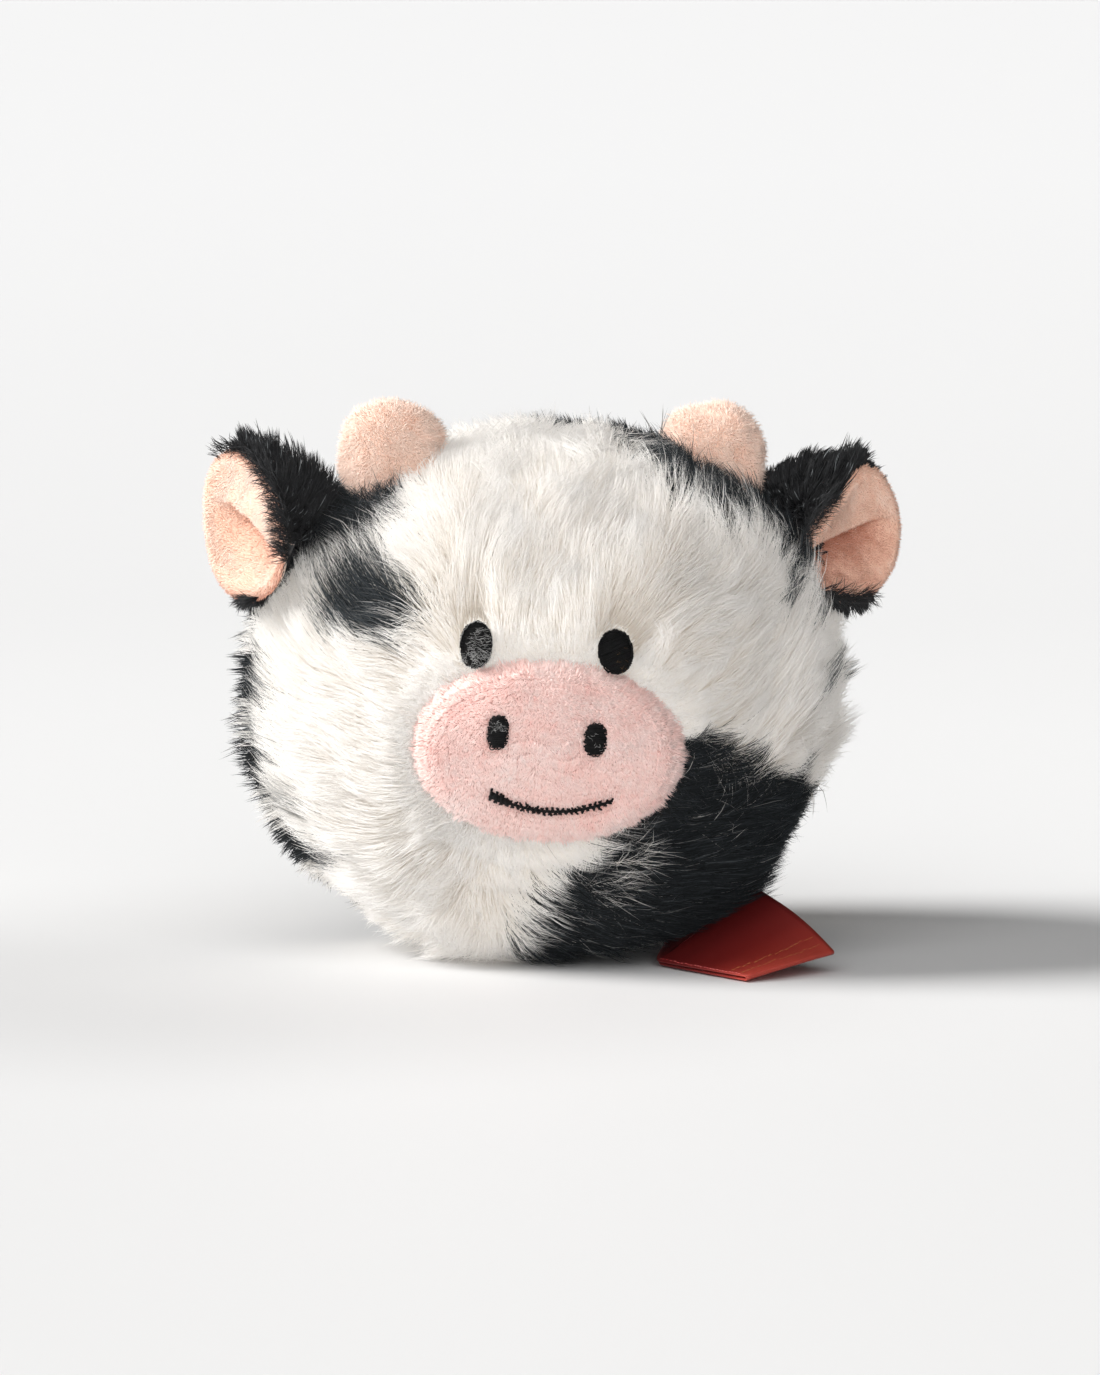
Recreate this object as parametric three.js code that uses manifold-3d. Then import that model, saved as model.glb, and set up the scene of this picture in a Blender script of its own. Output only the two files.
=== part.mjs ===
// Plush cow ball: a soft squeaking ball with a cow's face, ears and horns.
// Millimetres, +Z up, face towards -Y, +X to the right of the face as it is looked at.
// The origin is the centre of the flat that the ball stands on.
import * as THREE from "three";
import { mergeVertices } from "three/addons/utils/BufferGeometryUtils.js";
import Module from "manifold-3d";

const wasm = await Module();
wasm.setup();

// ---------------------------------------------------------------- driving dimensions
const HEAD_CENTRE_Z = 44.5;        // height of the ball's centre over the flat
const HEAD_A = 50;                 // half width
const HEAD_B = 48;                 // half depth
const HEAD_C_UP = 45.5;            // half height, upper half
const HEAD_C_DOWN = 47.5;          // half height, lower half, pressed to a flat at z = 0
const HEAD_POWER = 2.2;            // roundness of the stuffed form (2 is an ellipsoid)
const PANEL = 5.0;                 // pile fabric: backing and pile together
const PANEL_BASE = 3.0;            // pile fabric pressed under the ball
const GAP = 0.3;                   // clearance between neighbouring pieces
const SEAM_Y = -6;                 // main seam's plane: y = SEAM_Y + SEAM_SLOPE * x
const SEAM_SLOPE = 0.22;
const SEAM_GAP = 1.4;              // between the panels' turned edges, filled by the seam thread
const SEAM_THREAD_R = 0.45;
const SEAM_DEPTH = 4.1;            // depth of the seam thread under the mean pile surface
const FACE_ROLL = 3.5;             // degrees, the face leans down on its right

const MUZZLE = { x: 0.9, z: 39.6, a: 23.4, c: 15.3, power: 2.1, depth: 2.6, bulge: 1.3, under: 1.15 };
const EYES = [
  { side: "left", x: -11.6, z: 58.2, a: 2.75, c: 4.0 },
  { side: "right", x: 12.6, z: 57.3, a: 2.9, c: 3.75 },
];
const NOSTRILS = [
  { side: "left", x: -7.8, z: 42.9, a: 1.75, c: 2.85 },
  { side: "right", x: 9.0, z: 41.7, a: 1.8, c: 2.7 },
];
const MOUTH = { x0: -9.0, z0: 32.4, xm: 0.9, zm: 29.4, x1: 11.8, z1: 31.2, r: 0.75 };

const EARS = [
  { side: "left", x: -41, rim: [-51.6, -21.0, 75.4], normal: [-0.77, -0.64, 0.05], lean: -8.5, half: 12.0, wide: 10.0, turn: 1 },
  { side: "right", x: 42, rim: [53.2, -3.4, 72.6], normal: [0.60, -0.80, 0.05], lean: 8.5, half: 11.8, wide: 10.4, turn: -1 },
];
const EAR_TAB = { half: 7.6, thick: 1.3, depth: 2.2 };
const EAR_BACK_T = 2.0;
const EAR_LINING_T = 1.2;
const EAR_FOLD = [-21, -11, 0, 4, 8, 12, 16, 21]; // degrees of the fold at which the pile gives way to the ear

const HORNS = [
  { side: "left", x: -25.5, dir: [-0.16, -0.10, 1.0], scale: 1.0 },
  { side: "right", x: 28.8, dir: [0.06, -0.05, 1.0], scale: 0.96 },
];
const HORN_NECK = 2.2;             // depth of the horn's neck under the pile surface
const HORN_WALL = 1.2;

const SQUEAKER = { z: 42, r: 16.5, half: 10.5, wall: 1.0, neck: 5.0, neckLen: 4.5 };

const LABEL = {                    // folded ribbon; its free end lies on the floor in front
  rootLow: [21.5, -5.2, 1.3], rootHigh: [35.6, -0.4, 10.6],
  bendLow: [19.3, -27.0, 0.75], bendHigh: [36.3, -17.0, 9.6],
  endLow: [34.3, -46.0, 0.75], endHigh: [50.0, -33.4, 4.2],
  thick: 1.0,
};

// ---------------------------------------------------------------- solids
function solid(geometry) {
  const g = geometry.index || geometry.attributes.position ? geometry.clone() : geometry;
  g.deleteAttribute("normal");
  g.deleteAttribute("uv");
  const m = mergeVertices(g, 1e-4);
  const vert = Float32Array.from(m.attributes.position.array);
  const idx = Array.from(m.index.array);
  const tri = [];
  for (let i = 0; i < idx.length; i += 3) {
    const [a, b, c] = [idx[i], idx[i + 1], idx[i + 2]];
    if (a !== b && b !== c && a !== c) tri.push(a, b, c);
  }
  // faces point out: the signed volume is positive
  let vol = 0;
  for (let i = 0; i < tri.length; i += 3) {
    const p = [0, 1, 2].map((k) => new THREE.Vector3().fromArray(vert, 3 * tri[i + k]));
    vol += p[0].dot(p[1].cross(p[2])) / 6;
  }
  if (vol < 0) for (let i = 0; i < tri.length; i += 3) [tri[i + 1], tri[i + 2]] = [tri[i + 2], tri[i + 1]];
  return new wasm.Manifold(new wasm.Mesh({ numProp: 3, vertProperties: vert, triVerts: Uint32Array.from(tri) }));
}

function geometryOf(man) {
  const mesh = man.getMesh();
  const g = new THREE.BufferGeometry();
  const n = mesh.vertProperties.length / mesh.numProp;
  const pos = new Float32Array(n * 3);
  for (let i = 0; i < n; i++) for (let k = 0; k < 3; k++) pos[3 * i + k] = mesh.vertProperties[i * mesh.numProp + k];
  g.setAttribute("position", new THREE.BufferAttribute(pos, 3));
  g.setIndex(Array.from(mesh.triVerts));
  g.computeVertexNormals();
  return g;
}

const V = (a) => new THREE.Vector3(a[0], a[1], a[2]);

// the stuffed form, d millimetres inside the mean pile surface
function formRadius(dir, d, b = HEAD_B) {
  const c = (dir.z >= 0 ? HEAD_C_UP : HEAD_C_DOWN) - d;
  const s = Math.pow(Math.abs(dir.x) / (HEAD_A - d), HEAD_POWER)
    + Math.pow(Math.abs(dir.y) / (b - d), HEAD_POWER)
    + Math.pow(Math.abs(dir.z) / c, HEAD_POWER);
  return Math.pow(s, -1 / HEAD_POWER);
}

function form(d, floor, b = HEAD_B, wide = 32, high = 16) {
  const g = new THREE.SphereGeometry(1, wide, high);
  const p = g.attributes.position;
  const v = new THREE.Vector3();
  for (let i = 0; i < p.count; i++) {
    v.fromBufferAttribute(p, i).normalize();
    v.multiplyScalar(formRadius(v, d, b));
    p.setXYZ(i, v.x, v.y, v.z + HEAD_CENTRE_Z);
  }
  const block = new THREE.BoxGeometry(200, 200, 200);
  block.translate(0, 0, 100 + floor);
  return solid(g).intersect(solid(block));
}

// everything on one side of the main seam
const seamNormal = new THREE.Vector3(-SEAM_SLOPE, 1, 0).normalize();
function seamSide(sign, gap) {
  const g = new THREE.BoxGeometry(240, 120, 240);
  const m = new THREE.Matrix4().makeBasis(
    new THREE.Vector3(seamNormal.y, -seamNormal.x, 0), seamNormal, new THREE.Vector3(0, 0, 1));
  g.applyMatrix4(m);
  const c = new THREE.Vector3(0, SEAM_Y, HEAD_CENTRE_Z).addScaledVector(seamNormal, sign * (60 + gap / 2));
  g.translate(c.x, c.y, c.z);
  return solid(g);
}

// point on the form where the main seam passes, at angle phi round the Y axis
function seamPoint(phi, d, floor = -1e9) {
  let lo = 0, hi = 80;
  const u = new THREE.Vector3(Math.cos(phi), 0, Math.sin(phi));
  const at = (r) => new THREE.Vector3(u.x * r, SEAM_Y + SEAM_SLOPE * u.x * r, u.z * r);
  for (let i = 0; i < 50; i++) {
    const mid = (lo + hi) / 2;
    const q = at(mid);
    const len = q.length();
    if (len < formRadius(q.clone().divideScalar(len || 1), d)) lo = mid; else hi = mid;
  }
  const q = at((lo + hi) / 2);
  q.z += HEAD_CENTRE_Z;
  if (q.z < floor) q.z = floor;
  return q;
}
// seam point with a given x, upper half
function seamAtX(x, d) {
  let best = null;
  for (let k = 0; k <= 3600; k++) {
    const q = seamPoint((Math.PI * k) / 3600, d);
    if (!best || Math.abs(q.x - x) < Math.abs(best.x - x)) best = q;
  }
  return best;
}
function formNormal(p) {
  const z = p.z - HEAD_CENTRE_Z;
  const c = z >= 0 ? HEAD_C_UP : HEAD_C_DOWN;
  const k = HEAD_POWER;
  return new THREE.Vector3(
    (Math.sign(p.x) * Math.pow(Math.abs(p.x), k - 1)) / Math.pow(HEAD_A, k),
    (Math.sign(p.y) * Math.pow(Math.abs(p.y), k - 1)) / Math.pow(HEAD_B, k),
    (Math.sign(z) * Math.pow(Math.abs(z), k - 1)) / Math.pow(c, k)).normalize();
}

function tube(points, radius, steps, sides = 6) {
  const path = new THREE.CatmullRomCurve3(points, false, "centripetal");
  const shape = new THREE.Shape();
  for (let i = 0; i < sides; i++) {
    const a = (2 * Math.PI * i) / sides;
    if (i === 0) shape.moveTo(radius * Math.cos(a), radius * Math.sin(a));
    else shape.lineTo(radius * Math.cos(a), radius * Math.sin(a));
  }
  shape.closePath();
  return new THREE.ExtrudeGeometry(shape, { steps, extrudePath: path, bevelEnabled: false });
}
function ring(points, radius, steps, sides = 6) {
  const path = new THREE.CatmullRomCurve3(points, true, "centripetal");
  const shape = new THREE.Shape();
  for (let i = 0; i < sides; i++) {
    const a = (2 * Math.PI * i) / sides;
    if (i === 0) shape.moveTo(radius * Math.cos(a), radius * Math.sin(a));
    else shape.lineTo(radius * Math.cos(a), radius * Math.sin(a));
  }
  shape.closePath();
  return new THREE.ExtrudeGeometry(shape, { steps, extrudePath: path, bevelEnabled: false });
}

// upright column along Y whose outline is a superellipse in XZ
function column(x, z, a, c, power, y0, y1, rollDeg, count = 28) {
  const shape = new THREE.Shape();
  const roll = (-rollDeg * Math.PI) / 180;
  for (let i = 0; i < count; i++) {
    const t = (2 * Math.PI * i) / count;
    const ex = a * Math.sign(Math.cos(t)) * Math.pow(Math.abs(Math.cos(t)), 2 / power);
    const ez = c * Math.sign(Math.sin(t)) * Math.pow(Math.abs(Math.sin(t)), 2 / power);
    const px = ex * Math.cos(roll) - ez * Math.sin(roll);
    const pz = ex * Math.sin(roll) + ez * Math.cos(roll);
    if (i === 0) shape.moveTo(px, pz); else shape.lineTo(px, pz);
  }
  shape.closePath();
  const g = new THREE.ExtrudeGeometry(shape, { steps: 1, depth: y1 - y0, bevelEnabled: false });
  // shape's plane XY -> XZ, extrusion along +Y
  g.applyMatrix4(new THREE.Matrix4().makeBasis(
    new THREE.Vector3(1, 0, 0), new THREE.Vector3(0, 0, 1), new THREE.Vector3(0, -1, 0)));
  g.translate(x, y1, z);
  return g;
}

// ---------------------------------------------------------------- shared surfaces
const pileTop = form(0, 0);
const pileFoot = form(PANEL, PANEL_BASE);
const shell = pileTop.subtract(pileFoot);
const frontSide = seamSide(-1, SEAM_GAP);
const backSide = seamSide(1, SEAM_GAP);

// main seam's thread: one long run, then the hand-sewn closing stretch under the ball
const CLOSE_FROM = (-128 * Math.PI) / 180;
const CLOSE_TO = (-98 * Math.PI) / 180;
const seamRun = [];
const SEAM_STEPS = 36;
for (let i = 0; i <= SEAM_STEPS; i++) {
  const a = CLOSE_TO + 0.02 + ((2 * Math.PI + CLOSE_FROM - CLOSE_TO - 0.04) * i) / SEAM_STEPS;
  seamRun.push(seamPoint(a, SEAM_DEPTH, 1.75));
}
const closeMid = [], closeZig = [];
for (let i = 0; i <= 8; i++) {
  const a = CLOSE_FROM + ((CLOSE_TO - CLOSE_FROM) * i) / 8;
  closeMid.push(seamPoint(a, SEAM_DEPTH, 1.75));
}
for (let i = 0; i <= 12; i++) {
  const a = CLOSE_FROM + 0.03 + ((CLOSE_TO - CLOSE_FROM - 0.06) * i) / 12;
  closeZig.push(seamPoint(a, SEAM_DEPTH, 1.75).addScaledVector(seamNormal, i % 2 ? 0.75 : -0.75));
}
const closeGroove = solid(tube(closeMid, 1.65, 6, 6));

// ---------------------------------------------------------------- muzzle and embroidery
const muzzleCol = (grow) => solid(column(MUZZLE.x, MUZZLE.z, MUZZLE.a + grow, MUZZLE.c + grow, MUZZLE.power, -70, -20, FACE_ROLL, 28));
const muzzleFloor = form(MUZZLE.depth, 0);
const muzzleOuter = form(0, 0, HEAD_B + MUZZLE.bulge);
const muzzlePocket = muzzleCol(GAP).subtract(form(MUZZLE.depth + MUZZLE.under, 0));
let muzzle = muzzleOuter.subtract(muzzleFloor).intersect(muzzleCol(0));

// thread that holds the muzzle's turned edge, between the patch and the panel
const stitchRing = [];
for (let i = 0; i < 30; i++) {
  const t = (2 * Math.PI * i) / 30;
  const roll = (-FACE_ROLL * Math.PI) / 180;
  const a = MUZZLE.a - 1.5, c = MUZZLE.c - 1.5;
  const ex = a * Math.sign(Math.cos(t)) * Math.pow(Math.abs(Math.cos(t)), 2 / MUZZLE.power);
  const ez = c * Math.sign(Math.sin(t)) * Math.pow(Math.abs(Math.sin(t)), 2 / MUZZLE.power);
  const x = MUZZLE.x + ex * Math.cos(roll) - ez * Math.sin(roll);
  const z = MUZZLE.z + ex * Math.sin(roll) + ez * Math.cos(roll);
  // depth under the pile surface, measured along Y
  let lo = -60, hi = 0;
  for (let k = 0; k < 40; k++) {
    const mid = (lo + hi) / 2;
    const q = new THREE.Vector3(x, mid, z - HEAD_CENTRE_Z);
    const len = q.length();
    if (len > formRadius(q.clone().divideScalar(len), MUZZLE.depth + MUZZLE.under / 2)) lo = mid; else hi = mid;
  }
  stitchRing.push(new THREE.Vector3(x, (lo + hi) / 2, z));
}
const muzzleStitch = solid(ring(stitchRing, 0.28, 30, 5));

const eyeSolid = (e, grow, top, bottom) =>
  form(top, 0).subtract(form(bottom, 0)).intersect(solid(column(e.x, e.z, e.a + grow, e.c + grow, 2.1, -70, -20, FACE_ROLL, 16)));
const eyes = EYES.map((e) => eyeSolid(e, 0, 0.8, 2.8));
const eyePockets = EYES.map((e) => eyeSolid(e, GAP, -3, 2.8 + GAP));

const nostrilSolid = (e, grow, top, bottom) =>
  form(top, 0, HEAD_B + MUZZLE.bulge).subtract(form(bottom, 0, HEAD_B + MUZZLE.bulge))
    .intersect(solid(column(e.x, e.z, e.a + grow, e.c + grow, 4, -70, -20, FACE_ROLL, 16)));
const nostrils = NOSTRILS.map((e) => nostrilSolid(e, 0, -0.5, 1.0));
const nostrilPockets = NOSTRILS.map((e) => nostrilSolid(e, GAP, -3, 1.0 + GAP));

const mouthLine = [];
for (let i = 0; i <= 10; i++) {
  const t = i / 10;
  const x = (1 - t) * (1 - t) * MOUTH.x0 + 2 * t * (1 - t) * MOUTH.xm + t * t * MOUTH.x1;
  const z = (1 - t) * (1 - t) * MOUTH.z0 + 2 * t * (1 - t) * (2 * MOUTH.zm - (MOUTH.z0 + MOUTH.z1) / 2) + t * t * MOUTH.z1;
  let lo = -60, hi = 0;
  for (let k = 0; k < 40; k++) {
    const mid = (lo + hi) / 2;
    const q = new THREE.Vector3(x, mid, z - HEAD_CENTRE_Z);
    const len = q.length();
    if (len > formRadius(q.clone().divideScalar(len), 0.2, HEAD_B + MUZZLE.bulge)) lo = mid; else hi = mid;
  }
  mouthLine.push(new THREE.Vector3(x, (lo + hi) / 2, z));
}
const mouth = solid(tube(mouthLine, MOUTH.r, 14, 6));
const mouthGroove = solid(tube(mouthLine, MOUTH.r + 0.4, 14, 6));

muzzle = muzzle.subtract(nostrilPockets[0]).subtract(nostrilPockets[1]).subtract(mouthGroove);

// ---------------------------------------------------------------- ears
function earFrame(e) {
  const base = seamAtX(e.x, 0);
  const out = formNormal(base);
  // along the seam, from the ear's upper end to its lower end
  const along = new THREE.Vector3().crossVectors(seamNormal, out).normalize();
  if (along.z > 0) along.negate();
  // outwards, kept in the seam's plane
  const dir = new THREE.Vector3().crossVectors(along, seamNormal).normalize();
  if (dir.dot(out) < 0) dir.negate();
  const n = V(e.normal).normalize();
  const lean = (e.lean * Math.PI) / 180;
  let up = new THREE.Vector3(Math.sin(lean), 0, Math.cos(lean));
  up.addScaledVector(n, -up.dot(n)).normalize();
  const down = up.clone().negate();
  let side = new THREE.Vector3().crossVectors(n, up).normalize();
  if (side.dot(seamNormal) < 0) side.negate();
  return { base, out, along, dir, n, down, side };
}
function earSurface(e, f, h, theta, inset) {
  // h < 0 is the tab in the seam, 0 the pile surface, 1 the rim
  const t = THREE.MathUtils.clamp(h, 0, 1);
  const s = t * t * (3 - 2 * t);
  const c = f.base.clone().addScaledVector(f.dir, -EAR_TAB.depth * Math.max(0, -h));
  if (h > 0) {
    const p1 = f.base.clone().addScaledVector(f.dir, 6);
    const rim = V(e.rim);
    c.copy(f.base).multiplyScalar((1 - t) * (1 - t)).addScaledVector(p1, 2 * t * (1 - t)).addScaledVector(rim, t * t);
  }
  const eu = f.along.clone().lerp(f.down, s).normalize();
  let ev = seamNormal.clone().lerp(f.side, s);
  ev.addScaledVector(eu, -ev.dot(eu)).normalize();
  const half = THREE.MathUtils.lerp(EAR_TAB.half, e.half, Math.sin((t * Math.PI) / 2));
  const wide = THREE.MathUtils.lerp(EAR_TAB.thick, e.wide, Math.pow(t, 0.65));
  const a = Math.max(half - inset, 0.05), b = Math.max(wide - inset, 0.05);
  return c.addScaledVector(eu, a * Math.cos(theta)).addScaledVector(ev, b * Math.sin(theta));
}
function earCup(e, f, outerInset, innerInset, profileOut, profileIn) {
  // the profile's x is 1 on the outer wall, 0.5 on the inner wall and 0 on the axis
  const pts = [new THREE.Vector2(0, profileOut[0])];
  for (const h of profileOut) pts.push(new THREE.Vector2(1, h));
  for (const h of profileIn) pts.push(new THREE.Vector2(0.5, h));
  pts.push(new THREE.Vector2(0, profileIn[profileIn.length - 1]));
  const g = new THREE.LatheGeometry(pts, 16);
  const p = g.attributes.position;
  for (let i = 0; i < p.count; i++) {
    const x = p.getX(i), h = p.getY(i), z = p.getZ(i);
    const r = Math.hypot(x, z);
    const th = Math.atan2(x, z);
    let q;
    if (r < 1e-6) q = earSurface(e, f, h, 0, 1e3).clone();
    else q = earSurface(e, f, h, th, r > 0.75 ? outerInset : innerInset);
    if (r < 1e-6) {
      // the centre of the ring
      const q0 = earSurface(e, f, h, 0, 0), q1 = earSurface(e, f, h, Math.PI, 0);
      q = q0.add(q1).multiplyScalar(0.5);
    }
    p.setXYZ(i, q.x, q.y, q.z);
  }
  return solid(g);
}
const ears = EARS.map((e) => {
  const f = earFrame(e);
  const back = earCup(e, f, 0, EAR_BACK_T, [-1, -0.4, 0.12, 0.34, 0.52, 0.66, 0.84, 1.0], [1.0, 0.84, 0.66, 0.52, 0.44]);
  const lining = earCup(e, f, EAR_BACK_T + 2 * GAP, EAR_BACK_T + 2 * GAP + EAR_LINING_T,
    [0.52, 0.66, 0.84, 1.0], [1.0, 0.84, 0.7, 0.62]);
  // room for the ear to fold forwards and backwards over the pile
  const room = EAR_FOLD.map((deg) => earCup(e, f, -0.8, 0, [-1, -0.4, 0.12, 0.34, 0.52, 0.66, 0.84, 1.0], [1.0])
    .transform(new THREE.Matrix4().makeTranslation(f.base.x, f.base.y, f.base.z)
      .multiply(new THREE.Matrix4().makeRotationAxis(f.along, (-e.turn * deg * Math.PI) / 180))
      .multiply(new THREE.Matrix4().makeTranslation(-f.base.x, -f.base.y, -f.base.z)).elements));
  // slot that the tab swings in
  const slot = new THREE.BoxGeometry(2 * (EAR_TAB.half + 0.8), 2 * 3.1, 9.4);
  slot.translate(0, 0, 4.7 - 3.4);
  slot.applyMatrix4(new THREE.Matrix4().makeBasis(f.along, new THREE.Vector3().crossVectors(f.dir, f.along), f.dir));
  slot.translate(f.base.x, f.base.y, f.base.z);
  return { e, f, back, lining, slot: solid(slot), room };
});

// ---------------------------------------------------------------- horns
const hornOuter = [[0, 14.4], [3.7, 13.7], [6.7, 11.8], [8.7, 8.8], [9.4, 5.4], [9.0, 2.4], [8.1, 0.2], [7.2, -1.2], [6.6, -HORN_NECK]];
function hornProfile(inset, bottom) {
  const out = [];
  for (let i = 0; i < hornOuter.length; i++) {
    const p0 = hornOuter[Math.max(0, i - 1)], p1 = hornOuter[Math.min(hornOuter.length - 1, i + 1)];
    const tx = p1[0] - p0[0], tz = p1[1] - p0[1];
    const l = Math.hypot(tx, tz);
    let x = hornOuter[i][0] + (inset * tz) / l, z = hornOuter[i][1] - (inset * tx) / l;
    if (i === 0) { x = 0; z = hornOuter[0][1] - inset; }
    if (i === hornOuter.length - 1) z = bottom;
    out.push([Math.max(0, x), z]);
  }
  return out;
}
const horns = HORNS.map((h) => {
  const base = seamAtX(h.x, 0);
  const dir = V(h.dir).normalize();
  const m = new THREE.Matrix4().compose(base,
    new THREE.Quaternion().setFromUnitVectors(new THREE.Vector3(0, 0, 1), dir),
    new THREE.Vector3(h.scale, h.scale, h.scale));
  const nl = formNormal(base).applyQuaternion(new THREE.Quaternion().setFromUnitVectors(dir, new THREE.Vector3(0, 0, 1)));
  const place = (g) => {
    // lathe turns about Y: stand it up, then let its foot follow the slope of the ball
    g.applyMatrix4(new THREE.Matrix4().makeRotationX(Math.PI / 2));
    const p = g.attributes.position;
    for (let i = 0; i < p.count; i++) {
      const x = p.getX(i), y = p.getY(i), z = p.getZ(i);
      const k = THREE.MathUtils.clamp(1 - (z + 2) / 12, 0, 1);
      const t = k * k * (3 - 2 * k);
      p.setZ(i, z - (t * (nl.x * x + nl.y * y)) / nl.z);
    }
    g.applyMatrix4(m);
    return solid(g);
  };
  const o = hornProfile(0, -HORN_NECK), i1 = hornProfile(HORN_WALL, -HORN_NECK), i2 = hornProfile(HORN_WALL + GAP, -HORN_NECK);
  const cover = place(new THREE.LatheGeometry(
    [...o.map((p) => new THREE.Vector2(p[0], p[1])), ...i1.slice().reverse().map((p) => new THREE.Vector2(p[0], p[1]))], 16));
  const filling = place(new THREE.LatheGeometry(
    [...i2.map((p) => new THREE.Vector2(p[0], p[1])), new THREE.Vector2(0, -HORN_NECK)], 16));
  // bowl in the panels that the horn's foot leans in
  const socket = place(new THREE.LatheGeometry([[0, -3.45], [8.0, -3.45], [9.2, -0.6], [10.3, 2.4], [10.9, 6.6], [11.2, 10.6], [0, 10.6]]
    .map((p) => new THREE.Vector2(p[0], p[1])), 20));
  return { h, base, dir, cover, filling, socket };
});

// ---------------------------------------------------------------- label
function slab(low0, high0, low1, high1, thick, rows) {
  // ruled strip between two cross lines, given thickness along its own normal
  const g = new THREE.BoxGeometry(1, 1, 1, rows, 1, 2);
  const p = g.attributes.position;
  for (let i = 0; i < p.count; i++) {
    const s = p.getX(i) + 0.5, t = p.getZ(i) + 0.5, k = p.getY(i);
    const a = V(low0).lerp(V(low1), s), b = V(high0).lerp(V(high1), s);
    const q = a.clone().lerp(b, t);
    const du = V(low1).lerp(V(high1), t).sub(V(low0).lerp(V(high0), t));
    const dv = b.clone().sub(a);
    const n = new THREE.Vector3().crossVectors(du, dv).normalize();
    if (n.z < 0) n.negate();
    q.addScaledVector(n, k * thick);
    p.setXYZ(i, q.x, q.y, q.z);
  }
  return g;
}
const cut = 0.02;
const mix = (a, b, t) => V(a).lerp(V(b), t).toArray();
const labelFree = solid(slab(mix(LABEL.bendLow, LABEL.endLow, cut), mix(LABEL.bendHigh, LABEL.endHigh, cut),
  LABEL.endLow, LABEL.endHigh, LABEL.thick, 3));
const labelTail = solid(slab(LABEL.rootLow, LABEL.rootHigh, LABEL.bendLow, LABEL.bendHigh, LABEL.thick, 3));
// stitch line across the ribbon near its folded end
const hemA = V(mix(LABEL.bendLow, LABEL.endLow, 0.86)).lerp(V(mix(LABEL.bendHigh, LABEL.endHigh, 0.86)), 0.06);
const hemB = V(mix(LABEL.bendLow, LABEL.endLow, 0.86)).lerp(V(mix(LABEL.bendHigh, LABEL.endHigh, 0.86)), 0.94);
const labelUp = new THREE.Vector3().crossVectors(
  V(LABEL.endLow).sub(V(LABEL.bendLow)), V(LABEL.bendHigh).sub(V(LABEL.bendLow))).normalize();
if (labelUp.z < 0) labelUp.negate();
const hemOffset = LABEL.thick / 2 + 0.55;
const hem = solid(tube([hemA.clone().addScaledVector(labelUp, hemOffset),
  hemA.clone().lerp(hemB, 0.5).addScaledVector(labelUp, hemOffset),
  hemB.clone().addScaledVector(labelUp, hemOffset)], 0.22, 4, 6));
// room for the sewn stretch between the panels and under the ball
const spread = (low, high, by) => { const d = V(high).sub(V(low)).normalize(); return [V(low).addScaledVector(d, -by).toArray(), V(high).addScaledVector(d, by).toArray()]; };
const [roomRootLow, roomRootHigh] = spread(mix(LABEL.bendLow, LABEL.rootLow, 1.07), mix(LABEL.bendHigh, LABEL.rootHigh, 1.07), 0.9);
const [roomEndLow, roomEndHigh] = spread(mix(LABEL.rootLow, LABEL.bendLow, 1.07), mix(LABEL.rootHigh, LABEL.bendHigh, 1.07), 0.9);
const labelRoom = solid(slab(roomRootLow, roomRootHigh, roomEndLow, roomEndHigh, LABEL.thick + 1.6, 4));

// ---------------------------------------------------------------- panels and filling
let front = shell.intersect(frontSide);
let back = shell.intersect(backSide);
front = front.subtract(muzzlePocket).subtract(eyePockets[0]).subtract(eyePockets[1]);
for (const cutter of [closeGroove, ears[0].slot, ears[1].slot, horns[0].socket, horns[1].socket, labelRoom]) {
  front = front.subtract(cutter);
  back = back.subtract(cutter);
}
for (const ear of ears) for (const room of ear.room) {
  front = front.subtract(room);
  back = back.subtract(room);
}

// squeaker: a thin hollow bulb, a plug in its neck and a reed in the plug
const S = SQUEAKER;
const bulbOut = [], bulbIn = [];
for (let i = 0; i <= 6; i++) {
  const a = (-Math.PI / 2) + (Math.PI * i) / 6;
  const x = S.r * Math.pow(Math.max(0, Math.cos(a)), 0.8), z = S.half * Math.sin(a);
  if (i < 6) {
    bulbOut.push([x, z]);
    bulbIn.push([Math.max(0, x - S.wall * (i === 0 ? 0 : 1)), z * (1 - S.wall / S.half)]);
  }
}
// the neck replaces the top of the bulb
const neckR = S.neck, bore = S.neck - 1.1;
const top = S.half;
const bulbProfile = [...bulbOut.map((p) => new THREE.Vector2(p[0], p[1])),
  new THREE.Vector2(neckR, top - 0.6), new THREE.Vector2(neckR, top + S.neckLen),
  new THREE.Vector2(bore, top + S.neckLen), new THREE.Vector2(bore, top - 1.8),
  ...bulbIn.slice().reverse().map((p) => new THREE.Vector2(p[0], p[1]))];
const standUp = (g, z) => {
  g.applyMatrix4(new THREE.Matrix4().makeRotationX(Math.PI / 2));
  g.translate(0, 4, z);
  return solid(g);
};
const bulb = standUp(new THREE.LatheGeometry(bulbProfile, 16), S.z);
const plugR = bore - GAP, air = 2.2;
const plug = standUp(new THREE.LatheGeometry([
  [air, -3.0], [plugR, -3.0], [plugR, S.neckLen + GAP + 0.001], [6.0, S.neckLen + GAP + 0.001], [6.0, S.neckLen + GAP + 1.4], [air, S.neckLen + GAP + 1.4], [air, -3.0],
].map((p) => new THREE.Vector2(p[0], p[1])), 16), S.z + top);
const reed = (() => {
  const g = new THREE.BoxGeometry(2.6, 0.35, 6.4);
  g.translate(0, 4, S.z + top + 1.0);
  return solid(g);
})();
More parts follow.
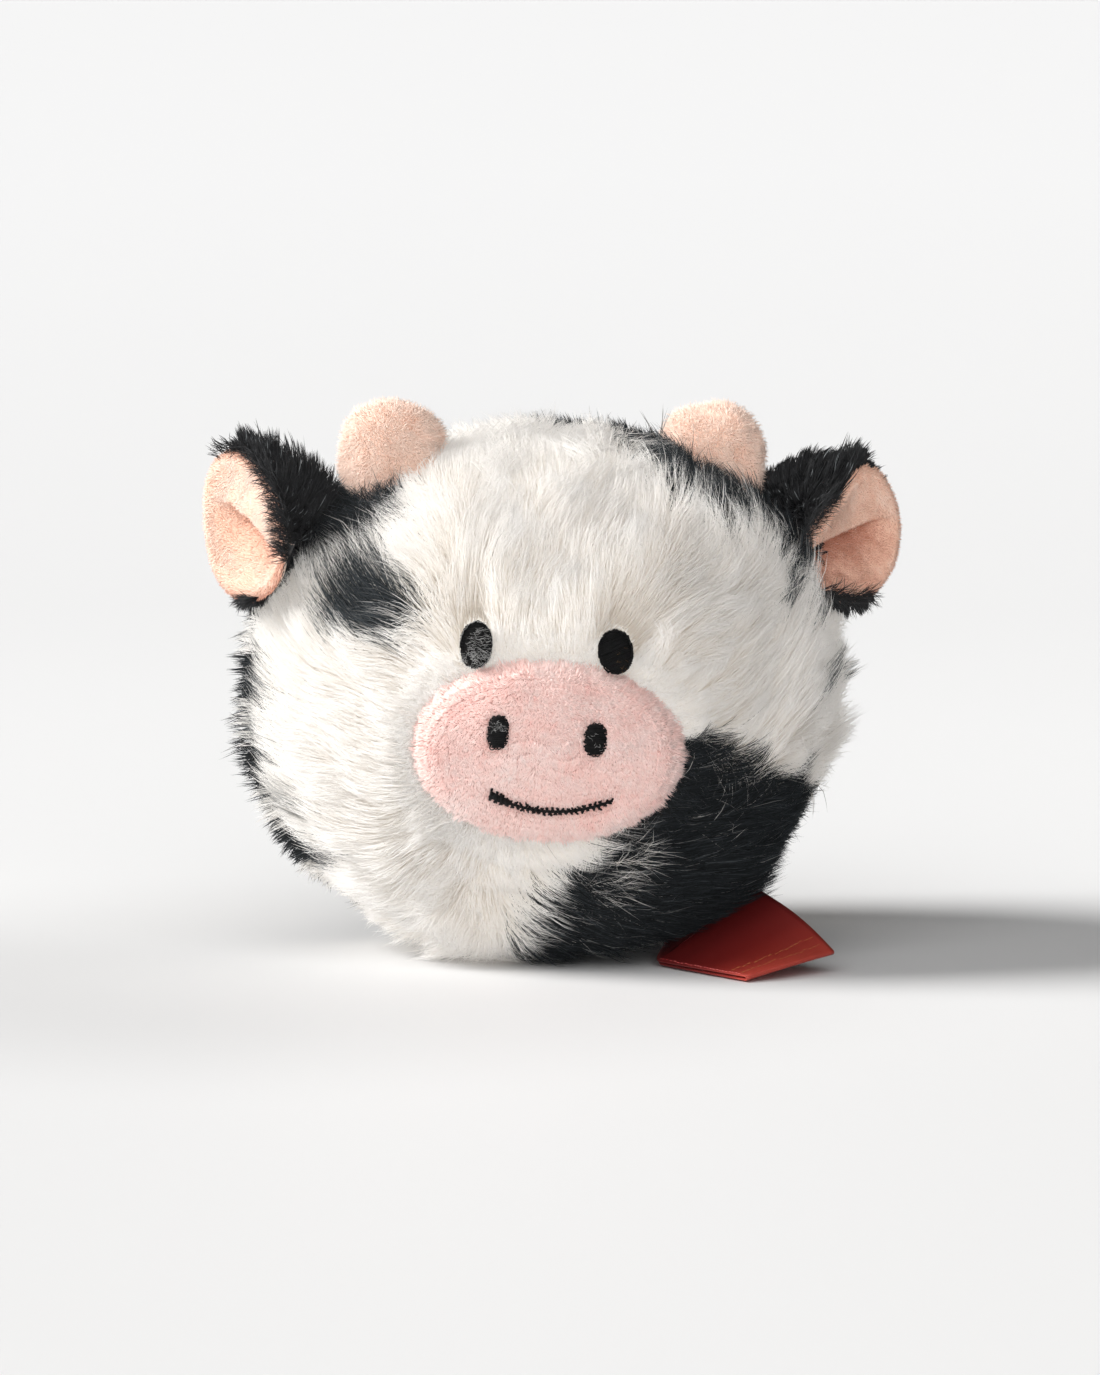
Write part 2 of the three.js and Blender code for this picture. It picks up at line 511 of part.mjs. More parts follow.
const pocket = standUp(new THREE.LatheGeometry([
  [0, -S.half - 0.6], [S.r * 0.62, -S.half - 0.3], [S.r * 0.97, -S.half * 0.62], [S.r + 0.6, 0], [S.r * 0.97, S.half * 0.62],
  [S.r * 0.62, S.half + 0.3], [6.6, S.half + 0.8], [6.6, S.half + S.neckLen + 2.4], [0, S.half + S.neckLen + 2.4],
].map((p) => new THREE.Vector2(p[0], p[1])), 20), S.z);
const fill = form(PANEL + GAP, PANEL_BASE + GAP, HEAD_B, 32, 16);
const fillFront = fill.intersect(seamSide(-1, GAP)).subtract(pocket).subtract(closeGroove).subtract(labelRoom);
const fillRear = fill.intersect(seamSide(1, GAP)).subtract(pocket).subtract(closeGroove).subtract(labelRoom);

// ---------------------------------------------------------------- scene graph
const material = (color, roughness, metalness = 0) => new THREE.MeshStandardMaterial({ color, roughness, metalness });
const group = new THREE.Group();
function put(name, man, mat) {
  const mesh = new THREE.Mesh(geometryOf(man), mat);
  mesh.name = name;
  group.add(mesh);
}
const pileWhite = () => material(0xe9e4dc, 0.95);
const pilePeach = () => material(0xf2c3a8, 0.95);
const pilePink = () => material(0xeebfb6, 0.95);
const pileBlack = () => material(0x1b1d20, 0.95);
const threadBlack = () => material(0x101113, 0.6);
put("front_panel", front, pileWhite());
put("back_panel", back, material(0x8d8d8c, 0.95));
put("seam_thread", solid(tube(seamRun, SEAM_THREAD_R, SEAM_STEPS, 5)), material(0xd8d6d0, 0.6));
put("closing_stitch", solid(tube(closeZig, 0.36, 26, 5)), material(0xd8d6d0, 0.6));
put("muzzle_patch", muzzle, pilePink());
put("muzzle_stitch", muzzleStitch, material(0xe2aaa4, 0.6));
put("eye_left", eyes[0], threadBlack());
put("eye_right", eyes[1], threadBlack());
put("nostril_left", nostrils[0], threadBlack());
put("nostril_right", nostrils[1], threadBlack());
put("mouth_stitch", mouth, threadBlack());
put("ear_left_back", ears[0].back, pileBlack());
put("ear_left_lining", ears[0].lining, pilePeach());
put("ear_right_back", ears[1].back, pileBlack());
put("ear_right_lining", ears[1].lining, pilePeach());
put("horn_left_cover", horns[0].cover, pilePeach());
put("horn_left_filling", horns[0].filling, material(0xf3f3f0, 1.0));
put("horn_right_cover", horns[1].cover, pilePeach());
put("horn_right_filling", horns[1].filling, material(0xf3f3f0, 1.0));
put("label_tail", labelTail, material(0xa51f22, 0.35));
put("label_ribbon", labelFree, material(0xa51f22, 0.35));
put("label_hem_thread", hem, material(0xc9772f, 0.5));
put("stuffing_front", fillFront, material(0xf3f3f0, 1.0));
put("stuffing_rear", fillRear, material(0xf3f3f0, 1.0));
put("squeaker_bulb", bulb, material(0xe6e6e2, 0.4));
put("squeaker_plug", plug, material(0xdfe3e6, 0.35));
put("squeaker_reed", reed, material(0xf4f4f4, 0.35));

export default group;
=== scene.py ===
import math

import bpy
import numpy as np
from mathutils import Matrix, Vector
from mathutils.kdtree import KDTree


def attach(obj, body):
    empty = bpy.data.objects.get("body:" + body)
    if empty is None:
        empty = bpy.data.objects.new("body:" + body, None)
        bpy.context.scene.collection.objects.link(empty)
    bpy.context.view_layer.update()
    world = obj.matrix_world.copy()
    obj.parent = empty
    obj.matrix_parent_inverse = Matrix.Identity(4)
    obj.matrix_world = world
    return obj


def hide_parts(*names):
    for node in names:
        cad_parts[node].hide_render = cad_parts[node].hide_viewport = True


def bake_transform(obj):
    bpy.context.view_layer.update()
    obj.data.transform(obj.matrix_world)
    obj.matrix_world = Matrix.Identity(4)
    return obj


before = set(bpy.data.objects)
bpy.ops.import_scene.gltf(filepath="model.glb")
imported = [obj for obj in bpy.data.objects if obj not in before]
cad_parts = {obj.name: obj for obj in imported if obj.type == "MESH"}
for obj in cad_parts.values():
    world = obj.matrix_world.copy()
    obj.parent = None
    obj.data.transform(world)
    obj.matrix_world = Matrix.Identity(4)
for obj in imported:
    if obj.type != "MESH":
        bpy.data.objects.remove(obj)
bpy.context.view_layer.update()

MM = 0.001
TAU = 2 * math.pi

# ------------------------------------------------------------------ the object's own numbers, millimetres
CENTRE = np.array([0.0, 0.0, 44.5])
HEAD_A, HEAD_B, HEAD_UP, HEAD_DOWN, POWER = 50.0, 48.0, 45.5, 47.5, 2.2
SEAM_Y, SEAM_SLOPE = -6.0, 0.22
SEAM_N = np.array([-SEAM_SLOPE, 1.0, 0.0]) / math.hypot(SEAM_SLOPE, 1.0)
SKIN = 4.5
MUZZLE = dict(x=0.9, z=39.3, a=23.4, c=15.7, power=2.1, bulge=1.3)
EYES = dict(left=(-11.3, 57.75, 2.6, 3.75), right=(12.3, 56.6, 2.8, 3.6))
NOSTRILS = dict(left=(-7.6, 43.2, 1.55, 2.8), right=(8.9, 41.9, 1.7, 2.7))
ROLL = math.radians(-3.5)
OWN_ROLL = {(-11.3, 57.75): math.radians(-8), (12.3, 56.6): math.radians(6)}
ELEV = math.radians(7.0)
PX = 5.8                                        # picture units per millimetre
VIEW = np.array([0.0, -math.cos(ELEV), math.sin(ELEV)])
SCREEN_UP = np.array([0.0, math.sin(ELEV), math.cos(ELEV)])


# ------------------------------------------------------------------ small maths
def unit(v):
    return v / np.maximum(np.linalg.norm(v, axis=-1, keepdims=True), 1e-9)


def smooth(a, b, x):
    t = np.clip((x - a) / (b - a), 0.0, 1.0)
    return t * t * (3 - 2 * t)


class Waves:
    """Smooth noise: a fixed sum of sine waves, near -1..1."""

    def __init__(self, seed, size, count=9, spread=0.5):
        r = np.random.default_rng(seed)
        d = unit(r.normal(size=(count, 3)))
        f = TAU / size * (1 + spread * (r.random((count, 1)) * 2 - 1))
        self.k = d * f
        self.p = r.random(count) * TAU

    def __call__(self, p):
        return np.sin(p @ self.k.T + self.p).sum(-1) / math.sqrt(len(self.p)) / 1.1


def form_radius(d, depth, b=HEAD_B):
    c = np.where(d[..., 2] >= 0, HEAD_UP, HEAD_DOWN) - depth
    s = (np.abs(d[..., 0]) / (HEAD_A - depth)) ** POWER + (np.abs(d[..., 1]) / (b - depth)) ** POWER \
        + (np.abs(d[..., 2]) / c) ** POWER
    return s ** (-1 / POWER)


def on_form(d, depth, b=HEAD_B, floor=None):
    p = CENTRE + d * form_radius(d, depth, b)[..., None]
    if floor is not None:
        p[..., 2] = np.maximum(p[..., 2], floor)
    return p


def head_normal(p):
    q = p - CENTRE
    c = np.where(q[..., 2] >= 0, HEAD_UP, HEAD_DOWN)
    g = np.stack([np.sign(q[..., 0]) * np.abs(q[..., 0]) ** (POWER - 1) / HEAD_A ** POWER,
                  np.sign(q[..., 1]) * np.abs(q[..., 1]) ** (POWER - 1) / HEAD_B ** POWER,
                  np.sign(q[..., 2]) * np.abs(q[..., 2]) ** (POWER - 1) / c ** POWER], -1)
    return unit(g)


def front_y(x, z, depth, b=HEAD_B):
    """Depth position of the face-side surface at a given x and z."""
    c = np.where(z - CENTRE[2] >= 0, HEAD_UP, HEAD_DOWN) - depth
    s = 1 - (np.abs(x) / (HEAD_A - depth)) ** POWER - (np.abs(z - CENTRE[2]) / c) ** POWER
    return -(b - depth) * np.maximum(s, 0.0) ** (1 / POWER)


def to_screen(p):
    """Place in the picture, in its pixels, of a point of the object."""
    up = p @ SCREEN_UP
    return 543 + PX * p[..., 0], 963 - PX * (up + 3)


def seam_side(p):
    """Millimetres behind the main seam's plane; negative in front of it."""
    return (p - np.array([0, SEAM_Y, 0])) @ SEAM_N


def inside_shape(x, z, shape, grow=0.0):
    """Below 1 inside a rolled superellipse (x, z, a, c, power)."""
    cx, cz, a, c, power = shape
    dx, dz = x - cx, z - cz
    roll = OWN_ROLL.get((cx, cz), ROLL)
    u = dx * math.cos(roll) + dz * math.sin(roll)
    v = -dx * math.sin(roll) + dz * math.cos(roll)
    return ((np.abs(u) / (a + grow)) ** power + (np.abs(v) / (c + grow)) ** power) ** (1 / power)


MUZZLE_SHAPE = (MUZZLE["x"], MUZZLE["z"], MUZZLE["a"], MUZZLE["c"], MUZZLE["power"])


def in_polygon(x, y, poly):
    """Signed distance to a closed outline, positive inside."""
    px, py = np.asarray(x, float), np.asarray(y, float)
    inside = np.zeros(px.shape, bool)
    best = np.full(px.shape, 1e9)
    n = len(poly)
    for i in range(n):
        x0, y0 = poly[i]
        x1, y1 = poly[(i + 1) % n]
        crosses = ((y0 > py) != (y1 > py)) & (px < (x1 - x0) * (py - y0) / ((y1 - y0) if y1 != y0 else 1e-9) + x0)
        inside ^= crosses
        dx, dy = x1 - x0, y1 - y0
        t = np.clip(((px - x0) * dx + (py - y0) * dy) / (dx * dx + dy * dy), 0, 1)
        best = np.minimum(best, np.hypot(px - x0 - t * dx, py - y0 - t * dy))
    return np.where(inside, best, -best)


# ------------------------------------------------------------------ meshes
def mesh_object(name, verts, faces, material, smooth_faces=True, uv=None):
    """verts in millimetres; faces a list of index arrays, one per polygon size."""
    me = bpy.data.meshes.new(name)
    verts = np.asarray(verts, np.float32) * MM
    me.vertices.add(len(verts))
    me.vertices.foreach_set("co", verts.ravel())
    loops, starts, totals, at = [], [], [], 0
    for f in faces:
        f = np.asarray(f, np.int32)
        if not len(f):
            continue
        k = f.shape[1]
        loops.append(f.ravel())
        starts.append(at + np.arange(len(f), dtype=np.int32) * k)
        totals.append(np.full(len(f), k, np.int32))
        at += f.size
    loops, starts, totals = np.concatenate(loops), np.concatenate(starts), np.concatenate(totals)
    me.loops.add(len(loops))
    me.loops.foreach_set("vertex_index", loops)
    me.polygons.add(len(starts))
    me.polygons.foreach_set("loop_start", starts)
    me.polygons.foreach_set("loop_total", totals)
    me.polygons.foreach_set("use_smooth", np.full(len(starts), bool(smooth_faces)))
    if uv is not None:
        layer = me.uv_layers.new(name="OFBake")
        layer.data.foreach_set("uv", np.asarray(uv, np.float32)[loops].ravel())
    me.update(calc_edges=True)
    me.validate()
    if material is not None:
        me.materials.append(material)
    ob = bpy.data.objects.new(name, me)
    bpy.context.scene.collection.objects.link(ob)
    return ob


def strands(points, radius, ref, levels, taper):
    """Closed three-sided hairs. points (N, K, 3) evenly spaced along each hair, radius (N,),
    ref (N, 3) a direction across the hair, levels the places of the rings, taper their widths."""
    n, k, _ = points.shape
    at = np.asarray(levels) * (k - 1)
    i0 = np.minimum(at.astype(int), k - 2)
    f = (at - i0)[None, :, None]
    centre = points[:, i0] * (1 - f) + points[:, i0 + 1] * f            # rings' centres
    tip = points[:, -1]
    ahead = np.concatenate([centre[:, 1:], tip[:, None]], 1)
    behind = np.concatenate([centre[:, :1], centre[:, :-1]], 1)
    along = unit(ahead - behind)
    side = unit(np.cross(along, ref[:, None, :]))
    over = np.cross(side, along)
    rings = len(levels)
    ang = np.array([math.pi / 2, math.pi / 2 + TAU / 3, math.pi / 2 + 2 * TAU / 3])
    off = side[:, :, None, :] * np.cos(ang)[None, None, :, None] + over[:, :, None, :] * np.sin(ang)[None, None, :, None]
    r = radius[:, None] * np.asarray(taper)[None, :]
    ring = centre[:, :, None, :] + off * r[:, :, None, None]             # N, rings, 3, 3
    verts = np.concatenate([ring.reshape(n, rings * 3, 3), tip[:, None]], 1)
    per = rings * 3 + 1
    quads, tris = [], []
    for a in range(rings - 1):
        for j in range(3):
            j2 = (j + 1) % 3
            quads.append([a * 3 + j, a * 3 + j2, (a + 1) * 3 + j2, (a + 1) * 3 + j])
    for j in range(3):
        tris.append([(rings - 1) * 3 + j, (rings - 1) * 3 + (j + 1) % 3, rings * 3])
    tris.append([2, 1, 0])
    base = (np.arange(n) * per)[:, None, None]
    quads = (np.array(quads)[None] + base).reshape(-1, 4)
    tris = (np.array(tris)[None] + base).reshape(-1, 3)
    v = np.concatenate([np.repeat(np.asarray(levels), 3), [1.0]])
    return verts.reshape(-1, 3), quads, tris, np.tile(v, n)


def fur_piece(name, points, radius, ref, shade, material, levels=(0, 0.4, 0.75), taper=(1, 1, 0.72)):
    verts, quads, tris, v = strands(points, radius, ref, levels, taper)
    per = len(levels) * 3 + 1
    u = np.repeat(np.clip(shade, 0.004, 0.996), per)
    verts[:, 2] = np.maximum(verts[:, 2], 0.12)
    return mesh_object(name, verts, [quads, tris], material, uv=np.stack([u, np.clip(v, 0.01, 0.99)], 1))


def grid_faces(rows, cols, wrap=True, offset=0, flip=False):
    i = np.arange(rows - 1)[:, None]
    j = np.arange(cols if wrap else cols - 1)[None, :]
    j2 = (j + 1) % cols
    f = np.stack([i * cols + j, i * cols + j2, (i + 1) * cols + j2, (i + 1) * cols + j], -1).reshape(-1, 4) + offset
    return f[:, ::-1] if flip else f


def volume_sign(verts, faces):
    v = 0.0
    for f in faces:
        f = np.asarray(f)
        if not len(f):
            continue
        for k in range(1, f.shape[1] - 1):
            a, b, c = verts[f[:, 0]], verts[f[:, k]], verts[f[:, k + 1]]
            v += np.einsum("ij,ij->i", a, np.cross(b, c)).sum()
    return v


def solid(name, verts, faces, material, uv=None, smooth_faces=True):
    verts = np.asarray(verts, float)
    if volume_sign(verts, faces) < 0:
        faces = [np.asarray(f)[:, ::-1] for f in faces]
    return mesh_object(name, verts, faces, material, smooth_faces, uv)


def rings_solid(name, rings, material, close_start=True, close_end=True):
    """Closed body from a list of equal rings (M, 3), each end closed by a centre point."""
    m = len(rings[0])
    verts = np.concatenate(rings)
    quads = grid_faces(len(rings), m)
    tris = []
    extra = []
    if close_start:
        extra.append(rings[0].mean(0))
        c = len(verts) + len(extra) - 1
        tris += [[c, (j + 1) % m, j] for j in range(m)]
    if close_end:
        extra.append(rings[-1].mean(0))
        c = len(verts) + len(extra) - 1
        o = (len(rings) - 1) * m
        tris += [[c, o + j, o + (j + 1) % m] for j in range(m)]
    verts = np.concatenate([verts, np.array(extra).reshape(-1, 3)])
    return solid(name, verts, [quads, np.array(tris).reshape(-1, 3)], material)


def tube_mesh(path, radius, sides=6, caps=True):
    """Vertices and faces of a round thread along a path (K, 3)."""
    path = np.asarray(path, float)
    k = len(path)
    t = unit(np.gradient(path, axis=0))
    ref = np.array([0.0, 0.0, 1.0])
    if abs(t[:, 2]).mean() > 0.8:
        ref = np.array([1.0, 0.0, 0.0])
    s = unit(np.cross(t, ref))
    o = np.cross(s, t)
    ang = np.arange(sides) / sides * TAU
    r = np.broadcast_to(np.asarray(radius, float), (k,))
    ring = path[:, None] + (s[:, None] * np.cos(ang)[None, :, None] + o[:, None] * np.sin(ang)[None, :, None]) * r[:, None, None]
    verts = ring.reshape(-1, 3)
    quads = grid_faces(k, sides)
    tris = []
    if caps:
        verts = np.concatenate([verts, path[:1], path[-1:]])
        tris += [[k * sides, (j + 1) % sides, j] for j in range(sides)]
        tris += [[k * sides + 1, (k - 1) * sides + j, (k - 1) * sides + (j + 1) % sides] for j in range(sides)]
    return verts, quads, np.array(tris)


def merge(parts):
    verts, quads, tris, at = [], [], [], 0
    for v, q, t in parts:
        verts.append(v)
        if len(q):
            quads.append(np.asarray(q) + at)
        if len(t):
            tris.append(np.asarray(t) + at)
        at += len(v)
    return (np.concatenate(verts), np.concatenate(quads) if quads else np.zeros((0, 4), int),
            np.concatenate(tris) if tris else np.zeros((0, 3), int))


# ------------------------------------------------------------------ materials
def nodes_of(name):
    m = bpy.data.materials.new(name)
    m.use_nodes = True
    nt = m.node_tree
    nt.nodes.clear()
    out = nt.nodes.new("ShaderNodeOutputMaterial")
    return m, nt, out


def ramp(nt, stops, mode="LINEAR"):
    r = nt.nodes.new("ShaderNodeValToRGB")
    r.color_ramp.interpolation = mode
    el = r.color_ramp.elements
    while len(el) > len(stops):
        el.remove(el[-1])
    while len(el) < len(stops):
        el.new(0.5)
    for e, (pos, col) in zip(el, stops):
        e.position = pos
        c = col if hasattr(col, "__len__") else (col,) * 3
        e.color = (c[0], c[1], c[2], 1)
    return r


def mix_colour(nt, a, b, fac, mode="MULTIPLY"):
    m = nt.nodes.new("ShaderNodeMix")
    m.data_type = "RGBA"
    m.blend_type = mode
    m.inputs["Factor"].default_value = fac
    nt.links.new(a, m.inputs["A"])
    if hasattr(b, "links"):
        nt.links.new(b, m.inputs["B"])
    else:
        m.inputs["B"].default_value = (*b, 1)
    return m.outputs["Result"]


def fur_material(name, colours, along, rough=0.75, glow=0.3, sheen=0.0, spec=0.3):
    """Fur: the hair's own shade by u, root to tip by v, where the callers darken the roots as painted shade deep among
    the hairs, and some light passing through.
    """
    m, nt, out = nodes_of(name)
    uv = nt.nodes.new("ShaderNodeUVMap")
    uv.uv_map = "OFBake"
    sep = nt.nodes.new("ShaderNodeSeparateXYZ")
    nt.links.new(uv.outputs[0], sep.inputs[0])
    cu, cv = ramp(nt, colours), ramp(nt, along)
    nt.links.new(sep.outputs[0], cu.inputs[0])
    nt.links.new(sep.outputs[1], cv.inputs[0])
    col = mix_colour(nt, cu.outputs[0], cv.outputs[0], 1.0)
    p = nt.nodes.new("ShaderNodeBsdfPrincipled")
    nt.links.new(col, p.inputs["Base Color"])
    p.inputs["Roughness"].default_value = rough
    p.inputs["Specular IOR Level"].default_value = spec
    p.inputs["Sheen Weight"].default_value = sheen
    if glow > 0:
        t = nt.nodes.new("ShaderNodeBsdfTranslucent")
        nt.links.new(col, t.inputs["Color"])
        mx = nt.nodes.new("ShaderNodeMixShader")
        mx.inputs[0].default_value = glow
        nt.links.new(p.outputs[0], mx.inputs[1])
        nt.links.new(t.outputs[0], mx.inputs[2])
        nt.links.new(mx.outputs[0], out.inputs[0])
    else:
        nt.links.new(p.outputs[0], out.inputs[0])
    return m


def cloth_material(name, base, other, scale=400.0, rough=0.85, bump=0.25, sheen=0.2, detail=3.0):
    """Knitted or fibrous backing: two tones broken up by noise, with a fine relief."""
    m, nt, out = nodes_of(name)
    tc = nt.nodes.new("ShaderNodeTexCoord")
    n1 = nt.nodes.new("ShaderNodeTexNoise")
    n1.inputs["Scale"].default_value = scale
    n1.inputs["Detail"].default_value = detail
    nt.links.new(tc.outputs["Object"], n1.inputs["Vector"])
    r = ramp(nt, [(0.3, base), (0.7, other)])
    nt.links.new(n1.outputs["Fac"], r.inputs[0])
    n2 = nt.nodes.new("ShaderNodeTexNoise")
    n2.inputs["Scale"].default_value = scale * 6
    n2.inputs["Detail"].default_value = 2
    nt.links.new(tc.outputs["Object"], n2.inputs["Vector"])
    bp = nt.nodes.new("ShaderNodeBump")
    bp.inputs["Strength"].default_value = bump
    bp.inputs["Distance"].default_value = 0.0004
    nt.links.new(n2.outputs["Fac"], bp.inputs["Height"])
    p = nt.nodes.new("ShaderNodeBsdfPrincipled")
    nt.links.new(r.outputs[0], p.inputs["Base Color"])
    nt.links.new(bp.outputs[0], p.inputs["Normal"])
    p.inputs["Roughness"].default_value = rough
    p.inputs["Sheen Weight"].default_value = sheen
    p.inputs["Specular IOR Level"].default_value = 0.25
    nt.links.new(p.outputs[0], out.inputs[0])
    return m


def thread_material(name, base, other, scale=2600.0, rough=0.45, spec=0.5):
    """Twisted thread: fine slanted ply by a wave, tone by noise."""
    m, nt, out = nodes_of(name)
    tc = nt.nodes.new("ShaderNodeTexCoord")
    w = nt.nodes.new("ShaderNodeTexWave")
    w.wave_type = "BANDS"
    w.bands_direction = "DIAGONAL"
    w.inputs["Scale"].default_value = scale
    w.inputs["Distortion"].default_value = 2.0
    w.inputs["Detail"].default_value = 1.5
    nt.links.new(tc.outputs["Object"], w.inputs["Vector"])
    n = nt.nodes.new("ShaderNodeTexNoise")
    n.inputs["Scale"].default_value = scale * 0.6
    nt.links.new(tc.outputs["Object"], n.inputs["Vector"])
    r = ramp(nt, [(0.35, base), (0.7, other)])
    nt.links.new(n.outputs["Fac"], r.inputs[0])
    bp = nt.nodes.new("ShaderNodeBump")
    bp.inputs["Strength"].default_value = 0.35
    bp.inputs["Distance"].default_value = 0.0001
    nt.links.new(w.outputs["Fac"], bp.inputs["Height"])
    p = nt.nodes.new("ShaderNodeBsdfPrincipled")
    nt.links.new(r.outputs[0], p.inputs["Base Color"])
    nt.links.new(bp.outputs[0], p.inputs["Normal"])
    p.inputs["Roughness"].default_value = rough
    p.inputs["Specular IOR Level"].default_value = spec
    nt.links.new(p.outputs[0], out.inputs[0])
    return m


def plastic_material(name, base, other, rough=0.35, clear=0.25):
    m, nt, out = nodes_of(name)
    tc = nt.nodes.new("ShaderNodeTexCoord")
    n = nt.nodes.new("ShaderNodeTexNoise")
    n.inputs["Scale"].default_value = 160
    n.inputs["Detail"].default_value = 4
    nt.links.new(tc.outputs["Object"], n.inputs["Vector"])
    r = ramp(nt, [(0.35, base), (0.65, other)])
    nt.links.new(n.outputs["Fac"], r.inputs[0])
    rr = ramp(nt, [(0.3, rough), (0.7, min(1.0, rough + 0.18))])
    nt.links.new(n.outputs["Fac"], rr.inputs[0])
    bp = nt.nodes.new("ShaderNodeBump")
    bp.inputs["Strength"].default_value = 0.08
    bp.inputs["Distance"].default_value = 0.0003
    nt.links.new(n.outputs["Fac"], bp.inputs["Height"])
    p = nt.nodes.new("ShaderNodeBsdfPrincipled")
    nt.links.new(r.outputs[0], p.inputs["Base Color"])
    nt.links.new(rr.outputs[0], p.inputs["Roughness"])
    nt.links.new(bp.outputs[0], p.inputs["Normal"])
    p.inputs["Coat Weight"].default_value = clear
    nt.links.new(p.outputs[0], out.inputs[0])
    return m


WHITE_HAIR = [(0.0, (0.018, 0.021, 0.023)), (0.2, (0.044, 0.051, 0.057)), (0.36, (0.14, 0.16, 0.175)),
              (0.5, (0.50, 0.495, 0.485)), (0.62, (0.93, 0.912, 0.888)), (0.8, (0.97, 0.958, 0.944)), (1.0, (0.987, 0.982, 0.974))]
# each fur's second ramp darkens the roots: painted shade deep among the hairs
fur_head = fur_material("fur_head", WHITE_HAIR, [(0.0, (0.94, 0.90, 0.85)), (0.45, (0.98, 0.97, 0.955)), (0.8, 1.0), (1.0, 1.0)], glow=0.55, rough=0.5, spec=0.2)
# fur_black's light top stop is for painted glint hairs on the black pile
fur_black = fur_material("fur_black", [(0.0, (0.006, 0.006, 0.007)), (0.7, (0.018, 0.019, 0.021)), (0.94, (0.05, 0.052, 0.056)), (1.0, (0.26, 0.28, 0.29))],
                         [(0.0, 0.55), (0.4, 0.9), (1.0, 1.0)], rough=0.6, glow=0.06, spec=0.35)
pile_pink = fur_material("pile_pink_short", [(0.0, (0.96, 0.60, 0.55)), (0.5, (0.998, 0.765, 0.72)), (1.0, (0.999, 0.87, 0.84))],
                         [(0.0, 0.93), (0.5, 0.98), (1.0, 1.0)], rough=0.9, glow=0.08, spec=0.04, sheen=0.15)
# pile_peach's dark low stops are reached mostly by the painted crease shade of the ears' linings
pile_peach = fur_material("pile_peach_short", [(0.0, (0.68, 0.33, 0.23)), (0.3, (0.95, 0.65, 0.51)), (0.5, (0.998, 0.785, 0.675)), (1.0, (0.999, 0.86, 0.77))],
                          [(0.0, 0.93), (0.5, 0.98), (1.0, 1.0)], rough=0.9, glow=0.08, spec=0.04, sheen=0.15)
skin_white = cloth_material("backing_white", (0.80, 0.78, 0.74), (0.9, 0.88, 0.85))
skin_black = cloth_material("backing_black", (0.012, 0.012, 0.014), (0.03, 0.03, 0.033))
skin_pink = cloth_material("backing_pink", (0.97, 0.70, 0.655), (0.985, 0.76, 0.715))
skin_peach = cloth_material("backing_peach", (0.97, 0.70, 0.57), (0.985, 0.76, 0.635))
fibre = cloth_material("polyester_fibre", (0.85, 0.85, 0.84), (0.95, 0.95, 0.94), scale=900, bump=0.7, sheen=0.5, detail=6)
thread_black = thread_material("thread_black", (0.002, 0.002, 0.0022), (0.006, 0.006, 0.0065), rough=0.55, spec=0.14)
thread_grey = thread_material("thread_fuzz", (0.22, 0.22, 0.22), (0.5, 0.5, 0.49), rough=0.6)
thread_dim = thread_material("thread_dim", (0.10, 0.05, 0.015), (0.2, 0.11, 0.04), rough=0.5, spec=0.3)
thread_white = thread_material("thread_white", (0.72, 0.71, 0.68), (0.9, 0.89, 0.86))
thread_pink = thread_material("thread_pink", (0.72, 0.42, 0.40), (0.9, 0.62, 0.60))
thread_rose = thread_material("thread_rose", (0.62, 0.06, 0.07), (0.9, 0.24, 0.22))
thread_gold = thread_material("thread_gold", (0.30, 0.07, 0.02), (0.50, 0.20, 0.06), rough=0.35)

# ------------------------------------------------------------------ camera, lights, floor
DIST = 2600.0
target = np.array([1.2, 0.0, 44.83])
cam_data = bpy.data.cameras.new("camera")
cam_data.sensor_fit = "VERTICAL"
cam_data.sensor_height = 36.0
cam_data.lens = 36.0 * DIST / 237.07
cam_data.clip_end = 50
cam = bpy.data.objects.new("camera", cam_data)
cam.location = Vector((target + VIEW * DIST) * MM)
cam.rotation_euler = (math.pi / 2 - ELEV, 0, 0)
bpy.context.scene.collection.objects.link(cam)
bpy.context.scene.camera = cam



def soft_sun(name, az, el, energy, angle, colour, shadow=True):
    """A far, soft light: az degrees to the left of the camera's side, el above the floor."""
    data = bpy.data.lights.new(name, "SUN")
    data.use_shadow = shadow
    data.energy = energy
    data.angle = math.radians(angle)
    data.color = colour
    ob = bpy.data.objects.new(name, data)
    az, el = math.radians(az), math.radians(el)
    v = Vector((-math.sin(az) * math.cos(el), -math.cos(az) * math.cos(el), math.sin(el)))
    ob.rotation_euler = v.to_track_quat("Z", "Y").to_euler()
    bpy.context.scene.collection.objects.link(ob)


soft_sun("key", 89, 36, 4.3, 26, (1.0, 0.985, 0.968))
soft_sun("fill", 3, 35, 2.15, 70, (1.0, 0.992, 0.985))
soft_sun("front", 62, 28, 0.42, 60, (1.0, 0.99, 0.98), shadow=False)
soft_sun("bounce", 62, -30, 1.3, 40, (1.0, 0.985, 0.965), shadow=False)

world = bpy.data.worlds.new("studio")
world.use_nodes = True
world.node_tree.nodes["Background"].inputs[0].default_value = (0.985, 0.99, 1.0, 1)
world.node_tree.nodes["Background"].inputs[1].default_value = 0.02
bpy.context.scene.world = world
bpy.context.scene.view_settings.view_transform = "Standard"

